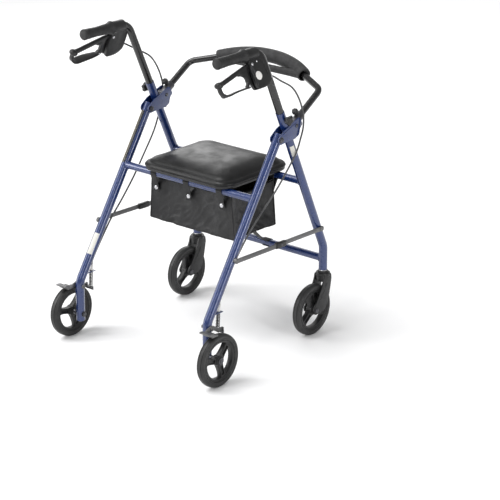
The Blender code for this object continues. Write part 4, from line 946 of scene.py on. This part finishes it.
def build_caster(hand, side):
    body = f"caster_{hand}"
    stem = Vector((side * LEG_X, STEM_Y, 0))
    axle = (STEM_Y - TRAIL, WHEEL_R)
    crown = lathe([(0, 0.152), (0.017, 0.152), (0.0194, 0.1534), (0.0198, 0.156), (0.0198, 0.1672),
                   (0.021, 0.1684), (0.0213, 0.17), (0.0213, 0.1765), (0.0203, 0.178), (0.0152, 0.1784),
                   (0.015, 0.18), (0.015, 0.1832), (0.0142, 0.1842), (0.0, 0.1842)], stem, (0, 0, 1), 48)
    outline = arc(axle, 0.0125, 165, 290, 14) + [
        (STEM_Y - 0.026, 0.0655), (STEM_Y - 0.017, 0.068), (STEM_Y - 0.009, 0.0735), (STEM_Y - 0.002, 0.085),
        (STEM_Y + 0.006, 0.108), (STEM_Y + 0.013, 0.14), (STEM_Y + 0.0165, 0.16), (STEM_Y + 0.014, 0.174),
        (STEM_Y - 0.014, 0.174), (STEM_Y - 0.019, 0.156), (STEM_Y - 0.027, 0.14), (STEM_Y - 0.045, 0.11)]
    blades = []
    for low, high in ((-0.0197, -0.0146), (0.0146, 0.0197)):
        blades.append(mirrored(bevelled(outline_plate(outline, LEG_X + low, LEG_X + high), 0.0018, 4), side))
    rib = []
    for x in (0.0196, -0.0196):
        points = [(LEG_X + x, STEM_Y - 0.006, 0.148), (LEG_X + x, STEM_Y - 0.018, 0.126),
                  (LEG_X + x, STEM_Y - 0.04, 0.098)]
        rib.append(mirrored(sweep(smooth_path(points, 8), circle(0.001, 10)), side))
    finish_piece(gathered([crown] + blades + rib), f"fork_{hand}", body, plastic,
                 [f"caster_fork_{hand}"])
    ring = lathe([(0.013, 0.1843), (0.0136, 0.1843), (0.0139, 0.1848), (0.0139, 0.1858), (0.0134, 0.1862),
                  (0.013, 0.1862)],
                 stem, (0, 0, 1), 40, True)
    finish_piece(ring, f"stem_ring_{hand}", "front_frame", steel)
    centre = Vector((side * LEG_X, *axle))
    bolt = lathe([(0, 0.0236), (0.003, 0.0235), (0.004, 0.0226), (0.0066, 0.0222), (0.0072, 0.0214),
                  (0.0072, 0.0199), (0.004, 0.0199), (0.004, -0.0199), (0.0072, -0.0199), (0.0072, -0.0214),
                  (0.006, -0.0228), (0, -0.0232)],
                 centre, (side, 0, 0), 24)
    spacers = [lathe([(0.0042, a), (0.008, a), (0.008, b), (0.0042, b)], centre, (1, 0, 0), 24, True)
               for a, b in ((0.0131, 0.0144), (-0.0144, -0.0131))]
    finish_piece(gathered([bolt] + spacers), f"front_axle_bolt_{hand}", body, gunmetal,
                 [f"front_axle_{hand}"])


# ---------------------------------------------------------------- wheel brakes, springs and cables
def build_shoe_lever(hand, side):
    """The arm that the cable lifts: a tab under the spring at one end, and the shoe over the tyre."""
    near, far = LEG_X + LEG_R + 0.0003, LEG_X + LEG_R + 0.0043
    y, z = BRAKE_ARM_PIVOT
    outline = [(-0.207, 0.143), (-0.207, 0.154), (-0.225, 0.156), (y + 0.01, z + 0.006)]
    outline += arc((y, z), 0.009, 50, 130, 6)
    outline += [(y - 0.012, z + 0.0055), (-0.28, 0.16), (-0.28, 0.155), (y - 0.01, z - 0.005),
                (y + 0.01, z - 0.007), (-0.225, 0.143)]
    arm = bevelled(outline_plate(outline, near, far), 0.0007, 2)
    tab = bevelled(box((LEG_X - 0.0087, -0.217, 0.1455), (near + 0.002, -0.2078, 0.1485)), 0.0006)
    lip = bevelled(box((LEG_X - 0.009, -0.2096, 0.137), (far + 0.004, -0.2066, 0.1475)), 0.0006)
    wing = bevelled(box((near + 0.0005, -0.2092, 0.139), (far + 0.0037, -0.2068, 0.155)), 0.0006)
    sole = [(-0.262, 0.1535), (-0.262, 0.1575), (-0.272, 0.158), (-0.278, 0.162), (-0.283, 0.1655),
            (-0.29, 0.1668), (-0.3, 0.167), (-0.3002, 0.1635), (-0.294, 0.161), (-0.288, 0.1575),
            (-0.286, 0.1535)]
    shoe = bevelled(outline_plate(sole, near + 0.001, REAR_WHEEL_X + 0.011), 0.0007, 2)
    head = lathe([(0, far - LEG_X + 0.0036), (0.003, far - LEG_X + 0.0034), (0.0062, far - LEG_X + 0.002),
                  (0.0066, far - LEG_X), (0.003, far - LEG_X - 0.001), (0.003, -LEG_R - 0.0006),
                  (0, -LEG_R - 0.0006)],
                 (LEG_X, y, z), (1, 0, 0), 28)
    nut = lathe([(0, 0), (0.0052, 0), (0.006, 0.0006), (0.006, 0.0042), (0, 0.0042)],
                (LEG_X - LEG_R - 0.0046, y, z), (1, 0, 0), 6)
    finish_piece(mirrored(gathered([arm, tab, lip, wing, shoe, head, nut]), side), f"shoe_lever_{hand}",
                 f"brake_arm_{hand}", bar_grey, [f"brake_arm_{hand}"])


def build_brake_spring(hand, side):
    """The spring that lifts the shoe, with the cable's wire inside it and its ferrule and nut above."""
    top, bottom = at(side, LEG_X, (-0.2064, 0.192)), at(side, LEG_X, (-0.2094, 0.1496))
    turns, per_turn, coil_radius, path = 10, 16, 0.005, []
    for i in range(turns * per_turn + 1):
        angle = 2 * math.pi * i / per_turn
        around = Vector((coil_radius * math.cos(angle), coil_radius * math.sin(angle), 0))
        path.append(bottom.lerp(top, i / (turns * per_turn)) + around)
    coil = finish_piece(sweep(path, circle(0.00105, 8)), f"coil_spring_{hand}", "rear_frame", dark_steel,
                        [f"brake_spring_{hand}"], 80)
    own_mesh(coil)
    wire = [at(side, LEG_X, (-0.2056, 0.2)), at(side, LEG_X, (-0.208, 0.17)),
            at(side, LEG_X, (-0.2096, 0.144))]
    finish_piece(sweep(wire, circle(0.0008, 10)), f"inner_wire_{hand}", "rear_frame", steel)
    ferrule = lathe([(0, 0.0004), (0.005, 0.0004), (0.0052, 0.0022), (0.004, 0.003), (0.004, 0.018),
                     (0.0034, 0.0205), (0.0026, 0.0208), (0, 0.0208)], at(side, LEG_X, (-0.2055, 0.195)),
                    (0, 0.09, 0.33), 28)
    finish_piece(ferrule, f"cable_ferrule_{hand}", "rear_frame", white)
    lock = lathe([(0, 0), (0.0052, 0), (0.0056, 0.0005), (0.0056, 0.0026), (0, 0.0026)],
                 at(side, LEG_X, (-0.206, 0.1896)), (0, 0, 1), 6)
    finish_piece(lock, f"cable_locknut_{hand}", "rear_frame", dark_steel)


def build_cable(hand, side):
    """The sheathed cable in two stretches: an upper one from the brake housing and a lower one down the
    frame.
    """
    tip = Vector((0, -0.0265, -0.07))
    ahead = (tip - Vector((0, -0.04, -0.066))).normalized()
    start = [brake_place(side) @ (tip + ahead * reach) for reach in (0.001, 0.015)]
    upper = [(0.27, 0.025, 0.801), (0.266, 0.079, 0.77), (0.2655, 0.111, 0.7295), (0.265, 0.129, 0.684),
             (0.265, 0.13, 0.648)]
    lower = [(0.264, 0.12, 0.616), (0.262, 0.104, 0.5785), (0.257, 0.077, 0.5395), (0.252, 0.03, 0.4855),
             (0.244, -0.0216, 0.433), (0.24, -0.0759, 0.3795), (0.241, -0.122, 0.3315),
             (0.2425, -0.166, 0.274), (0.244, -0.1965, 0.229), (0.244, -0.2035, 0.21)]
    route = start + [Vector((side * x, y, z)) for x, y, z in upper + lower]
    path = smooth_path(route, 10)
    split = (len(start) + len(upper) - 1) * 10
    top = sweep(path[: split + 1], circle(0.0025, 14))
    finish_piece(top, f"cable_upper_{hand}", None, sheath, [f"brake_cable_{hand}"], 80)
    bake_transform(top)
    bottom = sweep(path[split:], circle(0.0025, 14))
    finish_piece(bottom, f"cable_lower_{hand}", None, sheath, sharp=80)
    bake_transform(bottom)


# ---------------------------------------------------------------- seat
def stacked(layers):
    """A closed solid through rings of points, each above the one before."""
    shape = bmesh.new()
    rings = [[shape.verts.new(point) for point in layer] for layer in layers]
    bridge(shape, rings)
    shape.faces.new(rings[-1])
    shape.faces.new(list(reversed(rings[0])))
    return from_bmesh(shape)


def seat_ring(inset, z, pinch=0.0):
    """A rounded rectangle inside the seat's edge; pinch draws its sides in between the corners."""
    low_y, high_y, half = SEAT_REAR + inset, SEAT_FRONT - inset, SEAT_HALF - inset
    corner = max(SEAT_CORNER - inset * 0.45, 0.012)
    corners = ((half - corner, high_y - corner, 0), (-half + corner, high_y - corner, 90),
               (-half + corner, low_y + corner, 180), (half - corner, low_y + corner, 270))
    steps = 20
    outline = []
    for i, (cx, cy, start) in enumerate(corners):
        for j in range(steps + 1):
            angle = math.radians(start + 90 * j / steps)
            outline.append(Vector((cx + corner * math.cos(angle), cy + corner * math.sin(angle), z)))
        next_x, next_y, next_start = corners[(i + 1) % 4]
        angle = math.radians(next_start)
        after = Vector((next_x + corner * math.cos(angle), next_y + corner * math.sin(angle), z))
        last = outline[-1]
        for j in range(1, steps):
            share = j / (steps)
            point = last.lerp(after, share)
            inward = Vector((0, (SEAT_REAR + SEAT_FRONT) / 2, z)) - point
            point += inward.normalized() * pinch * math.sin(math.pi * share)
            outline.append(point)
    return outline


def build_seat():
    stations = [(0.0045, 0.499, 0.001), (0.001, 0.4998, 0.0012), (0.0, 0.5015, 0.0014),
                (0.0006, 0.504, 0.0014), (0.0022, 0.5065, 0.0014), (0.0045, 0.5088, 0.0012),
                (0.007, 0.5102, 0.001), (0.0092, 0.5108, 0.001), (0.0115, 0.512, 0.001),
                (0.014, 0.5146, 0.001), (0.0172, 0.5178, 0.001), (0.0215, 0.5208, 0.001),
                (0.028, 0.5236, 0.0008), (0.037, 0.5259, 0.0005), (0.049, 0.5277, 0.0), (0.064, 0.5291, 0.0),
                (0.084, 0.5302, 0.0), (0.106, 0.5309, 0.0), (0.13, 0.5311, 0.0)]
    cushion = stacked([seat_ring(inset, z, pinch) for inset, z, pinch in stations])
    cushion = inflated(cushion, 0.0055, 2.5, 0.0022)
    finish_piece(cushion, "crowned_cushion", "seat", vinyl, ["seat_cushion"], 70)
    edge = ((0.006, 0.4896), (0.0036, 0.49), (0.0024, 0.4915), (0.002, 0.495), (0.0026, 0.4982),
            (0.006, 0.4988))
    board = stacked([seat_ring(inset, z) for inset, z in edge])
    clips = []
    for x in (-0.11, 0.11):
        clips.append(lathe([(CROSS_R + 0.0003, 0.0125), (0.0134, 0.0125), (0.0138, 0.012), (0.0138, -0.012),
                            (0.0134, -0.0125), (CROSS_R + 0.0003, -0.0125)], (x, *FRONT_SEAT_TUBE), (1, 0, 0),
                           40, True))
    finish_piece(gathered([board] + clips), "seat_board", "seat", plastic, ["seat_base"])


def inflated(obj, voxel, pressure, cap):
    """Blow an even copy of a padded form up as cloth, and move the form's points by that swelling."""
    copy = bpy.data.objects.new("swell", obj.data.copy())
    scene.collection.objects.link(copy)
    remesh = copy.modifiers.new("remesh", "REMESH")
    remesh.mode, remesh.voxel_size = "VOXEL", voxel
    copy = settled(copy)
    rest = [v.co.copy() for v in copy.data.vertices]
    low = min(p.z for p in rest)
    group = copy.vertex_groups.new(name="held")
    group.add([v.index for v in copy.data.vertices if v.co.z < low + 0.006], 1.0, "ADD")
    cloth = copy.modifiers.new("cloth", "CLOTH")
    cloth.settings.use_pressure = True
    cloth.settings.uniform_pressure_force = pressure
    cloth.settings.effector_weights.gravity = 0.0
    cloth.settings.vertex_group_mass = "held"
    cloth.settings.quality = 5
    cloth.point_cache.frame_start, cloth.point_cache.frame_end = 1, 20
    for number in range(1, 21):
        scene.frame_set(number)
    evaluated = copy.evaluated_get(bpy.context.evaluated_depsgraph_get())
    swollen = [v.co.copy() for v in evaluated.data.vertices]
    shifts = []
    for start, end in zip(rest, swollen):
        shift = end - start
        shifts.append(shift * min(1.0, cap / max(shift.length, 1e-9)))
    tree = KDTree(len(rest))
    for number, point in enumerate(rest):
        tree.insert(point, number)
    tree.balance()
    reach = 3 * voxel
    for vertex in obj.data.vertices:
        total, move = 1e-9, Vector((0, 0, 0))
        for point, number, distance in tree.find_n(vertex.co, 40):
            share = math.exp(-((distance / reach) ** 2))
            total, move = total + share, move + shifts[number] * share
        vertex.co += move / total
    bpy.data.objects.remove(copy, do_unlink=True)
    scene.frame_set(1)
    return obj


# ---------------------------------------------------------------- bag
def creases(point, seed):
    """Sharp-edged folds of thin cloth."""
    slant = point.z * 30
    broad = noise.noise(Vector((point.x * 15 + slant * 0.4, point.y * 15, point.z * 9 + seed)))
    fine = noise.noise(Vector((point.x * 38 - slant, point.y * 38 + slant, point.z * 16 + seed)))
    return 0.0034 * broad - 0.0056 * abs(fine)


def bag_point(u, v):
    """A point of the bag's wall: u runs once round from the rear right corner, v from bottom to hem."""
    half, depth = BAG_HALF, BAG_FRONT - BAG_REAR
    lengths = (2 * half, depth, 2 * half, depth)
    distance = (u % 1.0) * sum(lengths)
    wall = 0
    while wall < 3 and distance > lengths[wall]:
        distance -= lengths[wall]
        wall += 1
    t = min(max(distance / lengths[wall], 0.0), 1.0)
    bow = math.sin(math.pi * t)
    corners = ((half, BAG_REAR), (-half, BAG_REAR), (-half, BAG_FRONT), (half, BAG_FRONT))
    flat = Vector(corners[wall]).lerp(Vector(corners[(wall + 1) % 4]), t)
    out = (Vector((0, -1)), Vector((-1, 0)), Vector((0, 1)), Vector((1, 0)))[wall]
    height = BAG_LOW + (BAG_HIGH - BAG_LOW) * v
    flat.x *= 1 - 0.065 * v
    if wall in (0, 2):
        nearest = min(abs(flat.x - x) for x in REAR_STRAPS)
        height -= 0.006 * v**3 * min(nearest / 0.062, 1.0) ** 1.4 + 0.0025 * bow * (1 - v) ** 2
        pull = math.exp(-((nearest / 0.024) ** 2) - ((height - SNAP_Z) / 0.026) ** 2)
        flat = flat + out * (0.007 * pull * (wall == 0) - 0.003 * bow * math.sin(math.pi * v))
    else:
        height -= 0.015 * v**2 * bow
        flat = flat - out * bow * (0.006 + 0.012 * math.sin(math.pi * v * 0.9))
    edge = min(1.0, 5 * min(t, 1 - t)) * (1 - 0.75 * v**6)
    flat = flat + out * creases(Vector((flat.x, flat.y, height)), wall * 3.7) * (0.25 + 0.75 * edge)
    return Vector((flat.x, flat.y, height))


def build_bag():
    """The bag's walls and bottom as one creased sheet with a thickness."""
    across, tall = 320, 48
    shape = bmesh.new()
    rows = []
    for j in range(tall + 1):
        rows.append([shape.verts.new(bag_point(i / across, j / tall)) for i in range(across)])
    bridge(shape, rows)
    steps = 12
    middle = Vector((0, (BAG_REAR + BAG_FRONT) / 2, 0))
    inner = rows[0]
    for j in range(1, steps):
        share = 1 - j / steps
        ring = []
        for vertex in rows[0]:
            point = middle + (Vector((vertex.co.x, vertex.co.y, 0)) - middle) * share
            dip = 0.003 * math.sin(math.pi * (1 - share) * 0.5)
            crease = 0.0016 * noise.noise(Vector((point.x * 26, point.y * 26, 3)))
            ring.append(shape.verts.new((point.x, point.y, vertex.co.z + crease - dip + 0.002)))
        bridge(shape, [inner, ring])
        inner = ring
    shape.faces.new(inner)
    bag = from_bmesh(shape)
    solid = bag.modifiers.new("cloth_thickness", "SOLIDIFY")
    solid.thickness, solid.offset = 0.0014, 0
    bag = settled(bag)
    finish_piece(bag, "nylon_bag", None, nylon, ["bag"], 60)
    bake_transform(bag)


def build_bag_binding():
    """The piping down the bag's corners and round its bottom, and the turned hem."""
    total = 4 * BAG_HALF + 2 * (BAG_FRONT - BAG_REAR)
    piping = []
    for distance in (0.0, 0.0205, 2 * BAG_HALF, total / 2, total / 2 + 2 * BAG_HALF):
        radius = 0.0011 if distance == 0.0205 else 0.0019
        piping.append(sweep([bag_point(distance / total, j / 24) for j in range(25)], circle(radius, 12)))
    piping.append(sweep([bag_point(i / 160, 0.0) for i in range(160)], circle(0.0019, 12), closed=True))
    hem = [bag_point(i / 320, 0.965) for i in range(320)]
    piping.append(sweep(hem, rounded_section(0.003, 0.0105, 0.0013), side=(0, 0, 1), closed=True))
    binding = gathered(piping)
    finish_piece(binding, "bag_binding", None, webbing, sharp=60)
    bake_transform(binding)


def strap_loop(x, tube, outward, wall):
    """A webbing strap that hangs from a tube: down its outer side to the snap, and down inside the hem."""
    y, z = tube
    gap = CROSS_R + 0.0013
    path = [Vector((x, wall, SNAP_Z - 0.0125)), Vector((x, wall + outward * 0.0006, SNAP_Z))]
    path.append(Vector((x, (wall + y + outward * gap) / 2, (SNAP_Z + z) / 2)))
    for i in range(13):
        angle = math.radians(180 * i / 12)
        path.append(Vector((x, y + outward * gap * math.cos(angle), z + gap * math.sin(angle))))
    path.append(Vector((x, y - outward * (gap + 0.0012), z - 0.016)))
    return sweep(smooth_path(path, 3), rounded_section(0.0215, 0.0015, 0.0006), side=(1, 0, 0))


def snap(x, y, direction):
    return lathe([(0, 0.003), (0.0032, 0.0029), (0.0054, 0.002), (0.0064, 0.0008), (0.0066, 0.0),
                  (0.0066, -0.001), (0, -0.001)], (x, y, SNAP_Z), (0, direction, 0), 28)


def build_straps():
    """Three straps and snaps on each seat tube, and the strap that ties the bag to the lower tube."""
    rear_wall, front_wall = BAG_REAR - 0.011, BAG_FRONT + 0.0035
    loops = [strap_loop(x, REAR_SEAT_TUBE, -1, rear_wall) for x in REAR_STRAPS]
    finish_piece(gathered(loops), "rear_straps", "rear_frame", webbing, sharp=50)
    snaps = [snap(x, rear_wall - 0.0016, -1) for x in REAR_STRAPS]
    finish_piece(gathered(snaps), "rear_snaps", "rear_frame", steel)
    loops = [strap_loop(x, FRONT_SEAT_TUBE, 1, front_wall) for x in FRONT_STRAPS]
    finish_piece(gathered(loops), "front_straps", "front_frame", webbing, sharp=50)
    snaps = [snap(x, front_wall + 0.0014, 1) for x in FRONT_STRAPS]
    finish_piece(gathered(snaps), "front_snaps", "front_frame", steel)
    route = [(0.136, 0.3345), (0.166, 0.296), (0.205, 0.256), (0.239, 0.23)]
    route += arc(FRONT_LOWER_TUBE, CROSS_R + 0.0014, 150, -150, 13)
    path = [at(1, TIE_STRAP_X, place) for place in route]
    strap = sweep(smooth_path(path, 3), rounded_section(0.025, 0.0014, 0.0005), side=(1, 0, 0))
    finish_piece(strap, "bag_tie_strap", "front_frame", webbing, sharp=50)


# ---------------------------------------------------------------- assembly
for hand, side in SIDES:
    build_frame(hand, side)
    build_bracket(hand, side)
    build_handle(hand, side)
    build_brake_housing(hand, side)
    build_brake_lever(hand, side)
    build_knobs(hand, side)
    build_braces(hand, side)
    build_caster(hand, side)
    build_shoe_lever(hand, side)
    build_brake_spring(hand, side)
    build_cable(hand, side)
build_cross_tubes()
build_backrest()
build_wheels()
build_seat()
build_bag()
build_bag_binding()
build_straps()
